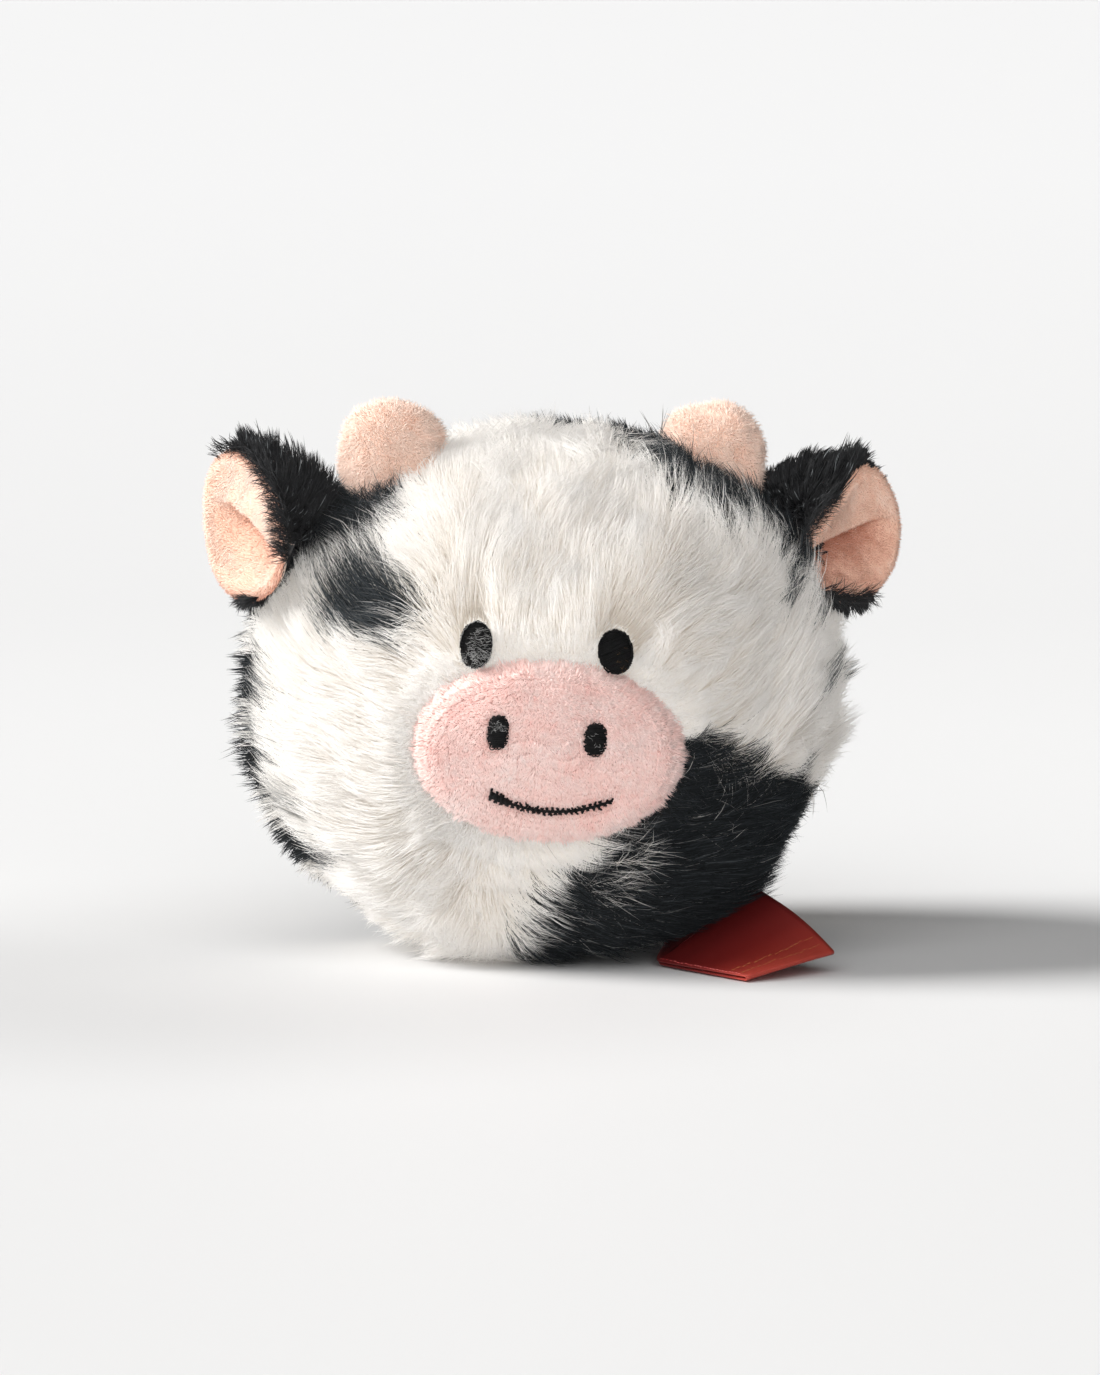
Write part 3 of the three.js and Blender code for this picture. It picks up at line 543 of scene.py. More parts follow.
floor_mat, nt, out = nodes_of("floor_paper")
tc = nt.nodes.new("ShaderNodeTexCoord")
nn = nt.nodes.new("ShaderNodeTexNoise")
nn.inputs["Scale"].default_value = 3.0
nt.links.new(tc.outputs["Object"], nn.inputs["Vector"])
ps = nt.nodes.new("ShaderNodeSeparateXYZ")
nt.links.new(tc.outputs["Object"], ps.inputs[0])
mr = nt.nodes.new("ShaderNodeMapRange")
mr.inputs["From Min"].default_value = -0.4
mr.inputs["From Max"].default_value = 1.6
nt.links.new(ps.outputs[1], mr.inputs[0])
ad = nt.nodes.new("ShaderNodeMath")
ad.operation = "MULTIPLY_ADD"
nt.links.new(nn.outputs["Fac"], ad.inputs[0])
ad.inputs[1].default_value = 0.1
nt.links.new(mr.outputs[0], ad.inputs[2])
# painted light: the paper steps up from 0.752 to 0.80 just behind the ball, lifting the fill's shadow there
rr = ramp(nt, [(0.0, (0.752, 0.757, 0.762)), (0.245, (0.752, 0.757, 0.762)), (0.29, (0.80, 0.806, 0.812)), (0.4, (0.79, 0.796, 0.802)), (0.5, (0.765, 0.771, 0.778)),
               (1.0, (0.80, 0.808, 0.818))])
nt.links.new(ad.outputs[0], rr.inputs[0])
# painted shadow: the paper darkens towards a point at the ball's left front
near_by = nt.nodes.new("ShaderNodeVectorMath")
near_by.operation = "DISTANCE"
near_by.inputs[1].default_value = (-0.055, -0.05, 0)
nt.links.new(tc.outputs["Object"], near_by.inputs[0])
painted_shadow_near_ball = nt.nodes.new("ShaderNodeMapRange")
painted_shadow_near_ball.interpolation_type = "SMOOTHSTEP"
painted_shadow_near_ball.inputs["From Min"].default_value = 0.03
painted_shadow_near_ball.inputs["From Max"].default_value = 0.14
painted_shadow_near_ball.inputs["To Min"].default_value = 0.86
painted_shadow_near_ball.inputs["To Max"].default_value = 1.0
nt.links.new(near_by.outputs["Value"], painted_shadow_near_ball.inputs[0])
paper = mix_colour(nt, rr.outputs[0], painted_shadow_near_ball.outputs[0], 1.0)
pb = nt.nodes.new("ShaderNodeBsdfPrincipled")
nt.links.new(paper, pb.inputs["Base Color"])
pb.inputs["Roughness"].default_value = 0.6
pb.inputs["Specular IOR Level"].default_value = 0.2
nt.links.new(pb.outputs[0], out.inputs[0])
fs = 10000.0
floor = mesh_object("floor", [[-fs, -fs, 0], [fs, -fs, 0], [fs, fs, 0], [-fs, fs, 0]], [[[0, 1, 2, 3]]], floor_mat)

# ------------------------------------------------------------------ colour patches of the pile, as places in the picture
PATCH = [(684, 738), (700, 735), (728, 733), (745, 756), (772, 764), (797, 777), (816, 789), (836, 800), (870, 815),
         (870, 1010), (505, 1010), (510, 975), (513, 950), (522, 925), (540, 905), (560, 888), (585, 868), (600, 852),
         (612, 838), (640, 815), (665, 785), (676, 760)]
SPOT = [(316, 580), (337, 556), (354, 547), (379, 549), (402, 572), (412, 602), (396, 607), (390, 628), (376, 646),
        (362, 632), (345, 626), (322, 634), (313, 608)]
BAND = [(588, 400), (598, 424), (625, 446), (655, 470), (690, 492), (730, 512), (760, 530), (790, 560), (803, 575),
        (840, 560), (830, 500), (780, 440), (700, 390), (620, 380)]
NEAR_EAR = [(270, 440), (283, 552), (312, 563), (332, 549), (350, 540), (372, 530), (386, 514), (400, 494), (404, 470), (380, 420), (320, 410)]
RIM = [[(225, 630), (256, 640), (263, 665), (262, 702), (248, 702), (225, 690)],
       [(225, 742), (258, 742), (267, 756), (263, 776), (225, 770)], [(225, 700), (250, 702), (262, 722), (262, 744), (225, 744)],
       [(250, 816), (275, 816), (288, 832), (306, 847), (332, 858), (322, 867), (296, 864), (262, 852)]]
rough_edge = Waves(11, 9.0)
fine_edge = Waves(12, 3.0)


def front_shade(p, rng):
    """Shade of each front hair, 0 black to 1 white, from the place it shows at."""
    px, py = to_screen(p)
    wob = 5.0 * rough_edge(p) + 3.0 * fine_edge(p)
    jit = rng.normal(size=len(p)) * 4.5
    patch = in_polygon(px, py, PATCH) + wob * 0.7 + jit * 0.8
    spot = in_polygon(px, py, SPOT) + wob * 0.5 + jit * 1.3
    band = in_polygon(px, py, BAND) + wob * 0.5 + jit
    near = in_polygon(px, py, NEAR_EAR) + wob * 0.5 + jit
    band = np.maximum(band, near)
    grey = smooth(-7, 12, spot) * (0.86 + 0.07 * rng.normal(size=len(p)))
    black = np.maximum(np.maximum(smooth(-4, 5, patch), grey), smooth(-4, 4, band))
    for poly, deep in zip(RIM, (0.95, 0.95, 0.55, 0.97)):
        black = np.maximum(black, smooth(-5, 6, in_polygon(px, py, poly) + wob * 0.4 + jit) * deep * (1 if deep > 0.6 else (rim_locks(p) > -0.1)))
    # small grey places near the right ear and the right rim, and low on the left rim
    for cx, cy, rx, ry, deep in [(792, 588, 9, 14, 0.75), (815, 612, 12, 8, 0.7), (831, 676, 8, 14, 0.8), (278, 800, 26, 22, 0.42), (350, 905, 13, 7, 0.45)]:
        g = 1 - np.hypot((px - cx) / rx, (py - cy) / ry) + jit * 0.05
        black = np.maximum(black, smooth(-0.15, 0.35, g) * deep)
    white = 0.82 + 0.08 * rng.normal(size=len(p))
    # painted light: dark hair a little lighter towards the top, where the light falls
    dark = 0.15 + 0.05 * smooth(70, 84, p[:, 2]) + 0.07 * rng.normal(size=len(p))
    # painted glints: a few of the dark hairs are lighter, standing in for glints of light on the black pile
    dark = np.where(rng.random(len(p)) < 0.035, 0.28 + 0.2 * rng.random(len(p)), dark)
    s = white * (1 - black) + dark * black
    return np.clip(s, 0.01, 0.99), black


back_patch = Waves(31, 62.0, count=7)
back_small = Waves(32, 20.0, count=7)
rim_locks = Waves(33, 2.6)


def back_shade(p, rng):
    v = back_patch(p) + 0.35 * back_small(p) + rng.normal(size=len(p)) * 0.05
    black = smooth(0.12, 0.22, v)
    for c, r in [((-35, -6, 80), 17), ((10, 2, 92), 9), ((22, 4, 88), 13), ((36, 8, 79), 14), ((50, 4, 51), 5),
                 ((-50, -9, 53), 5.5), ((-50, -7, 39), 6.5), ((-49, -3, 47), 4), ((-43, -10, 19.5), 4.5)]:
        d = np.linalg.norm(p - np.array(c), axis=1) + rng.normal(size=len(p)) * 0.7
        black = np.maximum(black, smooth(r + 1.2, r - 1.2, d))
    for c, r in [((-49, -5, 63), 4.0), ((-50, -9, 46), 2.0), ((-48, -12, 30), 3.5), ((-4, 2, 93), 6)]:
        d = np.linalg.norm(p - np.array(c), axis=1)
        black = black * smooth(r - 1.5, r + 1.5, d)
    # the left rim as it shows: dark, mixed and white stretches one under the other
    at_rim = smooth(-36, -42, p[:, 0]) * smooth(14, 8, seam_side(p))
    prof = np.interp(p[:, 2] + 0.5 * rng.normal(size=len(p)), [14, 16, 17, 21.5, 23, 29, 30.5, 36, 37, 43.5, 45, 51.5, 53, 57, 58, 61, 62.5, 90],
                     [0, .2, 1, 1, .42, .42, .95, .95, .5, .5, .97, .97, .12, .12, .9, .9, .1, .1])
    prof = smooth(-0.2, 0.25, rim_locks(p) * 0.5 + (prof - 0.5) * 2.2)
    black = black * (1 - at_rim) + at_rim * prof
    white = 0.78 + 0.10 * rng.normal(size=len(p))
    # painted light: dark hair a little lighter towards the top, where the light falls
    dark = 0.12 + 0.05 * smooth(70, 84, p[:, 2]) + 0.07 * rng.normal(size=len(p))
    return np.clip(white * (1 - black) + dark * black, 0.01, 0.99), black


# ------------------------------------------------------------------ how the front pile lies: place in the picture, degrees
FLOW = np.array([
    (480, 620, 97), (440, 600, 112), (400, 580, 122), (430, 540, 110), (395, 520, 125), (370, 560, 135), (350, 600, 150),
    (330, 640, 160), (450, 480, 95), (420, 470, 110), (500, 540, 92), (500, 470, 88), (540, 500, 95), (520, 600, 102),
    (545, 620, 95), (560, 560, 84), (560, 470, 80), (600, 450, 78), (580, 620, 74), (600, 580, 66), (610, 530, 74),
    (640, 500, 84), (650, 460, 80), (700, 490, 86), (740, 520, 82), (775, 550, 68), (640, 560, 56), (650, 600, 44),
    (680, 570, 38), (700, 610, 38), (720, 650, 40), (680, 660, 42), (760, 600, 48), (790, 620, 58), (760, 670, 48),
    (740, 720, 46), (700, 710, 40), (800, 680, 56), (820, 650, 48), (790, 740, 40), (820, 760, 14), (840, 720, 14),
    (840, 780, -15), (700, 750, 28), (740, 785, 14), (780, 810, 12), (700, 830, 4), (760, 850, 0), (680, 880, -4),
    (620, 900, -8), (740, 900, -10), (640, 940, -12), (570, 930, -14), (780, 870, -15), (605, 862, 12), (575, 885, 4),
    (530, 915, -45), (505, 935, -80), (550, 860, -60), (500, 870, 258), (470, 900, 238), (430, 880, 215), (390, 860, 200),
    (350, 830, 190), (380, 780, 176), (300, 790, 163), (300, 740, 158), (330, 700, 154), (380, 710, 160), (400, 660, 150),
    (300, 640, 156), (285, 600, 150), (310, 560, 140), (430, 940, 215), (480, 945, 235), (380, 910, 210), (410, 750, 172),
    (415, 820, 205), (450, 850, 228),
], float)


def front_flow(p, n, turn=None):
    px, py = to_screen(p)
    d2 = (px[:, None] - FLOW[None, :, 0]) ** 2 + (py[:, None] - FLOW[None, :, 1]) ** 2
    w = np.exp(-d2 / (2 * 30.0 ** 2)) + 1e-7
    a = np.radians(FLOW[:, 2])
    cx, cy = w @ np.cos(a), w @ np.sin(a)
    ang = np.arctan2(cy, cx)
    if turn is not None:
        ang = ang + turn
    d = np.cos(ang)[:, None] * np.array([1.0, 0, 0]) + np.sin(ang)[:, None] * SCREEN_UP
    screen = unit(d - np.einsum("ij,ij->i", d, n)[:, None] * n)
    away = p - np.array([MUZZLE["x"], -47.0, MUZZLE["z"]])
    away = unit(away - np.einsum("ij,ij->i", away, n)[:, None] * n)
    f = smooth(0.04, 0.3, n @ VIEW)[:, None]
    t = screen * f + away * (1 - f)
    return unit(t - np.einsum("ij,ij->i", t, n)[:, None] * n)


def back_flow(p, n, turn=None):
    # down the back, and outwards from the seam near it
    down = np.array([0.0, 0.35, -1.0])[None] + np.zeros_like(p)
    away = SEAM_N[None] + np.zeros_like(p)
    f = smooth(26, 4, seam_side(p))[:, None]
    up = smooth(60, 80, p[:, 2])[:, None]
    d = down * (1 - f) * (1 - up) + away * (0.35 * f + up * 0.6)
    if turn is not None:
        d = d + np.cross(n, d) * turn[:, None]
    return unit(d - np.einsum("ij,ij->i", d, n)[:, None] * n)


def grow(root, length, lean0, lean1, flow, steps=5, turn=None, normal=head_normal, bend=0.6):
    p = root.copy()
    pts = [p]
    for k in range(steps):
        n = normal(p)
        t = flow(p, n, turn)
        a = lean0 + (lean1 - lean0) * ((k + 0.4) / steps) ** bend
        p = p + (np.cos(a)[:, None] * n + np.sin(a)[:, None] * t) * (length / steps)[:, None]
        pts.append(p)
    return np.stack(pts, 1)


def nearest(points, guides):
    tree = KDTree(len(guides))
    for i, g in enumerate(guides):
        tree.insert(g, i)
    tree.balance()
    return np.array([tree.find(q)[1] for q in points])


def clump(points, roots, guide_paths, guide_roots, amount, power=1.4):
    idx = nearest(roots, guide_roots)
    k = points.shape[1]
    c = amount[:, None] * (np.linspace(0, 1, k)[None, :] ** power)
    return points * (1 - c[:, :, None]) + guide_paths[idx] * c[:, :, None], idx


def random_dirs(count, seed):
    """Even, jittered directions over the whole ball."""
    r = np.random.default_rng(seed)
    i = np.arange(count) + 0.5
    z = 1 - 2 * i / count
    a = i * math.pi * (3 - math.sqrt(5))
    d = np.stack([np.sqrt(1 - z * z) * np.cos(a), np.sqrt(1 - z * z) * np.sin(a), z], -1)
    return unit(d + r.normal(size=d.shape) * (1.1 / math.sqrt(count)))


def shorten(points, keep):
    """Each hair cut to a fraction of its length."""
    n, k, _ = points.shape
    at = np.linspace(0, 1, k)[None] * keep[:, None] * (k - 1)
    i0 = np.minimum(at.astype(int), k - 2)
    f = (at - i0)[..., None]
    rows = np.arange(n)[:, None]
    return points[rows, i0] * (1 - f) + points[rows, i0 + 1] * f


def lower_level(p, floor=2.4):
    p = p.copy()
    p[:, 2] = np.maximum(p[:, 2], floor)
    return p


# ------------------------------------------------------------------ the main seam's curve
def seam_dirs(count, shift):
    phi = np.arange(count) / count * TAU
    u = np.stack([np.cos(phi), np.sin(phi)], -1)
    y0 = SEAM_Y + shift * math.hypot(SEAM_SLOPE, 1)
    lo, hi = np.zeros(count), np.full(count, 80.0)
    for _ in range(40):
        mid = (lo + hi) / 2
        q = np.stack([u[:, 0] * mid, y0 + SEAM_SLOPE * u[:, 0] * mid, u[:, 1] * mid], -1)
        ln = np.linalg.norm(q, axis=1)
        ins = ln < form_radius(q / ln[:, None], SKIN)
        lo, hi = np.where(ins, mid, lo), np.where(ins, hi, mid)
    q = np.stack([u[:, 0] * lo, y0 + SEAM_SLOPE * u[:, 0] * lo, u[:, 1] * lo], -1)
    return unit(q)


def skin(name, pole, shift, outer, inner, rows=46, cols=128):
    edge = seam_dirs(cols, shift)
    pole = unit(np.array(pole, float))
    om = np.arccos(np.clip(edge @ pole, -1, 1))
    rings_o, rings_i = [], []
    for s in np.linspace(0, 1, rows)[1:]:
        d = (np.sin((1 - s) * om)[:, None] * pole + np.sin(s * om)[:, None] * edge) / np.sin(om)[:, None]
        d = unit(d)
        rings_o.append(on_form(d, outer, floor=2.2))
        rings_i.append(on_form(d, inner, floor=2.9))
    rings = rings_o + rings_i[::-1]
    return rings_solid(name, rings, None)


front_skin = skin("front_panel_backing", (0, -1, -0.02), -0.7, SKIN, 5.15)
back_skin = skin("back_panel_backing", (0, 1, -0.02), 0.7, SKIN, 5.15)


def paint(ob, shade_fn, seed):
    """Backing under patches takes the patch's tone, as a smooth colour per vertex."""
    me = ob.data
    co = np.empty(len(me.vertices) * 3, np.float32)
    me.vertices.foreach_get("co", co)
    p = co.reshape(-1, 3).astype(float) / MM
    s, black = shade_fn(p, np.random.default_rng(seed))
    at = me.attributes.new("patch", "FLOAT", "POINT")
    at.data.foreach_set("value", black.astype(np.float32))
    m, nt, out = nodes_of(ob.name + "_knit")
    a = nt.nodes.new("ShaderNodeAttribute")
    a.attribute_name = "patch"
    tc = nt.nodes.new("ShaderNodeTexCoord")
    n1 = nt.nodes.new("ShaderNodeTexNoise")
    n1.inputs["Scale"].default_value = 1500
    nt.links.new(tc.outputs["Object"], n1.inputs["Vector"])
    r1 = ramp(nt, [(0.3, (0.74, 0.71, 0.66)), (0.7, (0.88, 0.86, 0.82))])
    r2 = ramp(nt, [(0.3, (0.01, 0.01, 0.011)), (0.7, (0.03, 0.03, 0.032))])
    nt.links.new(n1.outputs["Fac"], r1.inputs[0])
    nt.links.new(n1.outputs["Fac"], r2.inputs[0])
    mx = nt.nodes.new("ShaderNodeMix")
    mx.data_type = "RGBA"
    nt.links.new(a.outputs["Fac"], mx.inputs["Factor"])
    nt.links.new(r1.outputs[0], mx.inputs["A"])
    nt.links.new(r2.outputs[0], mx.inputs["B"])
    bp = nt.nodes.new("ShaderNodeBump")
    bp.inputs["Strength"].default_value = 0.4
    bp.inputs["Distance"].default_value = 0.0003
    nt.links.new(n1.outputs["Fac"], bp.inputs["Height"])
    p2 = nt.nodes.new("ShaderNodeBsdfPrincipled")
    nt.links.new(mx.outputs["Result"], p2.inputs["Base Color"])
    nt.links.new(bp.outputs[0], p2.inputs["Normal"])
    p2.inputs["Roughness"].default_value = 0.95
    nt.links.new(p2.outputs[0], out.inputs[0])
    me.materials.append(m)


paint(front_skin, front_shade, 1)
paint(back_skin, back_shade, 2)
for ob, node, slot in [(front_skin, "front_panel", "pile_white"), (back_skin, "back_panel", "pile_back")]:
    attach(ob, "root")
    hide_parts(node)

# ------------------------------------------------------------------ the ears' shape
EARS = {
    "left": dict(base=(-40.99, -15.018, 69.866), along=(-0.53837, -0.11844, -0.83434), dir=(-0.8149, -0.1793, 0.5512),
                 rim=(-51.6, -21.0, 75.4), n=(-0.77, -0.64, 0.05), lean=-8.5, half=12.0, wide=10.0,
                 crease=((-8.2, 3.0), (6.2, -4.6)), lobe=0.30, bowl=0.95, cup=2.9),
    "right": dict(base=(41.993, 3.238, 71.459), along=(0.57695, 0.12693, -0.80686), dir=(0.788, 0.1734, 0.5907),
                  rim=(53.2, -3.4, 72.6), n=(0.60, -0.80, 0.05), lean=8.5, half=11.8, wide=10.4,
                  crease=((-8.0, 3.4), (8.9, -3.4)), lobe=0.06, bowl=1.15, cup=2.6),
}


def ear_axes(e):
    n = unit(np.array(e["n"]))
    le = math.radians(e["lean"])
    up = np.array([math.sin(le), 0, math.cos(le)])
    up = unit(up - n * (up @ n))
    side = unit(np.cross(n, up))
    if side @ SEAM_N < 0:
        side = -side
    return n, up, side


def ear_back_point(e, h, th, inset=0.0):
    """Outer wall of the ear: h 0 at the pile, 1 at the rim."""
    n, up, side = ear_axes(e)
    t = np.clip(h, 0, 1)
    s = t * t * (3 - 2 * t)
    base, d, rim = np.array(e["base"]), np.array(e["dir"]), np.array(e["rim"])
    c = base + (1 - 0) * 0 * d
    c = base[None] * ((1 - t) ** 2)[:, None] + (base + 6 * d)[None] * (2 * t * (1 - t))[:, None] + rim[None] * (t * t)[:, None]
    c = c - d[None] * (2.2 * np.maximum(0, -h))[:, None]
    eu = unit(np.array(e["along"])[None] * (1 - s)[:, None] - up[None] * s[:, None])
    ev = SEAM_N[None] * (1 - s)[:, None] + side[None] * s[:, None]
    ev = unit(ev - eu * np.einsum("ij,ij->i", ev, eu)[:, None])
    half = 7.6 + (e["half"] - 7.6) * np.sin(t * math.pi / 2) - inset
    wide = 1.3 + (e["wide"] - 1.3) * t ** 0.65 - inset
    half, wide = np.maximum(half, 0.1), np.maximum(wide, 0.1)
    return c + eu * (half * np.cos(th))[:, None] + ev * (wide * np.sin(th))[:, None]


def ear_depth(e, s, q, rho):
    """How far the lining lies below the rim's plane: a shallow cup with one pleat."""
    (s0, q0), (s1, q1) = e["crease"]
    ln = math.hypot(s1 - s0, q1 - q0)
    tx, tq = (s1 - s0) / ln, (q1 - q0) / ln
    tau = ((s - s0) * tx + (q - q0) * tq) / ln
    w = -(s - s0) * tq + (q - q0) * tx                       # positive below the pleat
    amp = 4.2 * (1 - smooth(0.6, 1.12, tau)) * smooth(-0.5, -0.05, tau)
    lobe = e["lobe"] * np.exp(-((w + 2.4) / 3.2) ** 2)
    bowl = e["bowl"] * np.exp(-np.maximum(w, 0) / 4.6)
    k = smooth(-0.7, 0.4, w)
    pleat = amp * (bowl * k - lobe * (1 - k))
    cup = e["cup"] * (1 - rho ** 2.2)
    return (cup + pleat * (1 - smooth(0.78, 1.0, rho)))


# the lining's outline as it shows in the picture
OUTLINE = {
    "left": [(228, 452), (241, 455), (256, 464), (268, 478), (277, 495), (282, 515), (285, 540), (285, 568), (277, 590),
             (262, 600), (245, 602), (228, 594), (215, 574), (208, 545), (205, 515), (206, 485), (213, 464)],
    "right": [(868, 463), (880, 470), (892, 489), (900, 514), (901, 540), (896, 564), (885, 584), (869, 598), (850, 603),
              (830, 600), (812, 588), (802, 569), (802, 549), (812, 532), (825, 514), (838, 497), (850, 480), (859, 468)],
}


def ear_outline(e, pts):
    """Radius against angle of the lining's outline in the ear's own plane."""
    n, up, side = ear_axes(e)
    rim = np.array(e["rim"])
    cx, cy = to_screen(rim)
    q = np.array(pts, float)
    dx, dy = (q[:, 0] - cx) / PX, (cy - q[:, 1]) / PX
    m = np.array([[side[0], -up[0]], [side @ SCREEN_UP, -(up @ SCREEN_UP)]])
    sq = np.linalg.solve(m, np.stack([dx, dy]))
    ang = np.arctan2(sq[0], sq[1]) % TAU
    rad = np.hypot(sq[0], sq[1])
    o = np.argsort(ang)
    ang, rad = ang[o], rad[o]
    ang3 = np.concatenate([ang - TAU, ang, ang + TAU])
    rad3 = np.tile(rad, 3)
    a = np.linspace(0, TAU, 361)
    r = np.interp(a, ang3, rad3)
    k = np.exp(-0.5 * (np.arange(-24, 25) / 7.0) ** 2)
    k /= k.sum()
    r = np.convolve(np.concatenate([r[-25:-1], r, r[1:25]]), k, "valid")
    return a, r


for side_name, e in EARS.items():
    e["outline"] = ear_outline(e, OUTLINE[side_name])


def ear_rim_radius(e, th):
    return np.interp(np.asarray(th) % TAU, *e["outline"])


def ear_plane_point(e, rho, th, deep):
    """rho 0..1 of the outline, th its angle (0 down), deep below the rim's plane."""
    n, up, side = ear_axes(e)
    r = ear_rim_radius(e, th) * rho
    q, s = r * np.cos(th), r * np.sin(th)
    return np.array(e["rim"])[None] - up[None] * q[:, None] + side[None] * s[:, None] - n[None] * deep[:, None]


def ear_lining_point(e, rho, th, inset=0.35, drop=0.0):
    r = ear_rim_radius(e, th) - inset
    q, s = r * rho * np.cos(th), r * rho * np.sin(th)
    d = ear_depth(e, s, q, rho) + drop
    # the lining rolls over at its edge
    lip = 1.5 * smooth(0.84, 1.0, rho) ** 2
    return ear_plane_point(e, rho * r / ear_rim_radius(e, th), th, d + lip - 0.7)


def ear_wall_point(e, h, th, inset=0.9):
    """Back of the ear: its own wall near the head, the lining's outline at the rim."""
    p = ear_back_point(e, h, th, inset)
    phi = np.arctan2(e["wide"] * np.sin(th), e["half"] * np.cos(th))
    r = ear_rim_radius(e, phi)
    q = ear_plane_point(e, (r - 0.5) / r, phi, 1.0 + 0 * r)
    w = smooth(0.35, 1.0, np.clip(h, 0, 1))[:, None]
    return p * (1 - w) + q * w


def clear_of_ears(pts):
    """Head hairs that would come through an ear's lining stop short of it."""
    keep = np.ones(len(pts))
    k = pts.shape[1]
    for e in EARS.values():
        n, up, side = ear_axes(e)
        near = np.flatnonzero(np.linalg.norm(pts[:, -1] - np.array(e["rim"]), axis=1) < 22)
        if not len(near):
            continue
        for i in range(1, k):
            for f in (0.0, 0.5):
                v = pts[near, i] * (1 - f) + pts[near, i - 1] * f - np.array(e["rim"])
                a, s_, q_ = v @ n, v @ side, -(v @ up)
                r = np.hypot(s_, q_)
                R = ear_rim_radius(e, np.arctan2(s_, q_)) - 0.35
                ins = (r < R) & (a < 0.3) & (a > 0.25 - ear_depth(e, s_, q_, np.minimum(r / R, 1)))
                t = (i - f) / (k - 1)
                keep[near] = np.where(ins, np.minimum(keep[near], max(0.1, t - 0.15)), keep[near])
    return shorten(pts, keep)


# ------------------------------------------------------------------ front pile
QUALITY = 1.0
turn_wave, turn_fine, lift_wave, long_wave = Waves(41, 17.0), Waves(44, 6.5), Waves(42, 7.0), Waves(43, 9.0)


def front_hairs(count, seed, guides=False):
    rng = np.random.default_rng(seed)
    d = random_dirs(count, seed + 1)
    root = on_form(d, SKIN, floor=2.3)
    keep = seam_side(root) < -0.3
    mz = inside_shape(root[:, 0], root[:, 2], MUZZLE_SHAPE, -1.9)
    keep &= ~((mz < 1) & (root[:, 1] < 0))
    for x, z, a, c in EYES.values():
        keep &= ~((inside_shape(root[:, 0], root[:, 2], (x, z, a, c, 2.1), -0.35) < 1) & (root[:, 1] < 0))
    root = root[keep]
    n = len(root)
    rng2 = np.random.default_rng(seed + 2)
    # distance from the muzzle's edge, roughly, in millimetres
    mz = (inside_shape(root[:, 0], root[:, 2], MUZZLE_SHAPE) - 1) * 18
    mz = np.where(root[:, 1] < 0, mz, 40)
    base = 7.5 + 6.0 * smooth(0, 14, mz)
    px, py = to_screen(root)
    length = base * (1 + 0.13 * long_wave(root) + (0.2 if guides else 0.12) * rng2.normal(size=n))
    under = smooth(9, 3, root[:, 2])
    length *= 1 - 0.5 * under
    length *= 1 - 0.42 * smooth(-6.5, -1.0, seam_side(root)) * smooth(-30, -42, root[:, 0])
    length *= 1 - 0.22 * smooth(76, 86, root[:, 2]) + 0.12 * smooth(76, 86, root[:, 2]) * turn_wave(root)
    # shorter where the ball tucks in above the floor
    length *= 1 - smooth(34, 12, root[:, 2]) * smooth(24, 38, np.abs(root[:, 0])) * np.where(root[:, 0] < 0, 0.2, 0.45)
    length *= 1 - 0.42 * smooth(28, 10, root[:, 2]) * smooth(-8, -26, root[:, 0])
    length *= 1 - 0.3 * smooth(36, 29, root[:, 2]) * smooth(28, 40, root[:, 0])
    # short at the left horn's foot
    length *= 1 - 0.5 * smooth(-14, 4, in_polygon(px, py, [(330, 470), (392, 478), (398, 515), (370, 530), (335, 520)]))
    lean0 = np.radians(32 + 7 * rng2.normal(size=n)) + under * 0.5
    lean1 = np.radians(77 + (11 if guides else 4) * rng2.normal(size=n) - 6 * lift_wave(root))
    # close round the muzzle the pile stands up beside it, and it lies flat at the eyes
    beside = smooth(5.0, 0.5, mz)
    lean0 -= beside * 0.22
    lean1 -= beside * 0.12
    for ex, ez, ea, ec in EYES.values():
        at_eye = smooth(2.2, 0.3, (inside_shape(root[:, 0], root[:, 2], (ex, ez, ea, ec, 2.1)) - 1) * 3.3) * (root[:, 1] < 0)
        lean0 += at_eye * 0.5
        length *= 1 - 0.3 * at_eye
    turn = np.radians(13 * turn_wave(root) + 8 * turn_fine(root) + (21 if guides else 6) * rng2.normal(size=n))
    pts = grow(root, length, lean0, lean1, front_flow, steps=6, turn=turn)
    return root, pts


def clear_of_eyes(pts, marks=False):
    keep = np.ones(len(pts))
    k = pts.shape[1]
    for x, z, a, c in EYES.values():
        for i in range(1, k):
            for f in (0.0, 0.5):
                q = pts[:, i] * (1 - f) + pts[:, i - 1] * f
                ins = (inside_shape(q[:, 0], q[:, 2], (x, z, a, c, 2.1), 0.1) < 1) & (q[:, 1] < 0)
                t = (i - f) / (k - 1)
                keep = np.where(ins, np.minimum(keep, max(0.12, t - 0.12)), keep)
    return (shorten(pts, keep), keep > 0.5) if marks else shorten(pts, keep)


def lit_side(p):
    return smooth(-6, -26, p[:, 0]) * smooth(74, 60, p[:, 2])


big_root, big = front_hairs(1700, 101, True)
fine_root, fine = front_hairs(14000, 111)
rng = np.random.default_rng(113)
fine, big_of = clump(fine, fine_root, big, big_root, np.clip(0.8 - 0.3 * lit_side(fine_root) + 0.12 * rng.normal(size=len(fine)), 0, 0.97), 1.4)
big_jit = rng.random(len(big))
N_FRONT = int(215000 * QUALITY)
root, pts = front_hairs(N_FRONT, 121)
rng = np.random.default_rng(131)
pts, fine_of = clump(pts, root, fine, fine_root, np.clip(0.5 - 0.12 * lit_side(root) + 0.22 * rng.normal(size=len(pts)), 0, 0.95), 1.1)
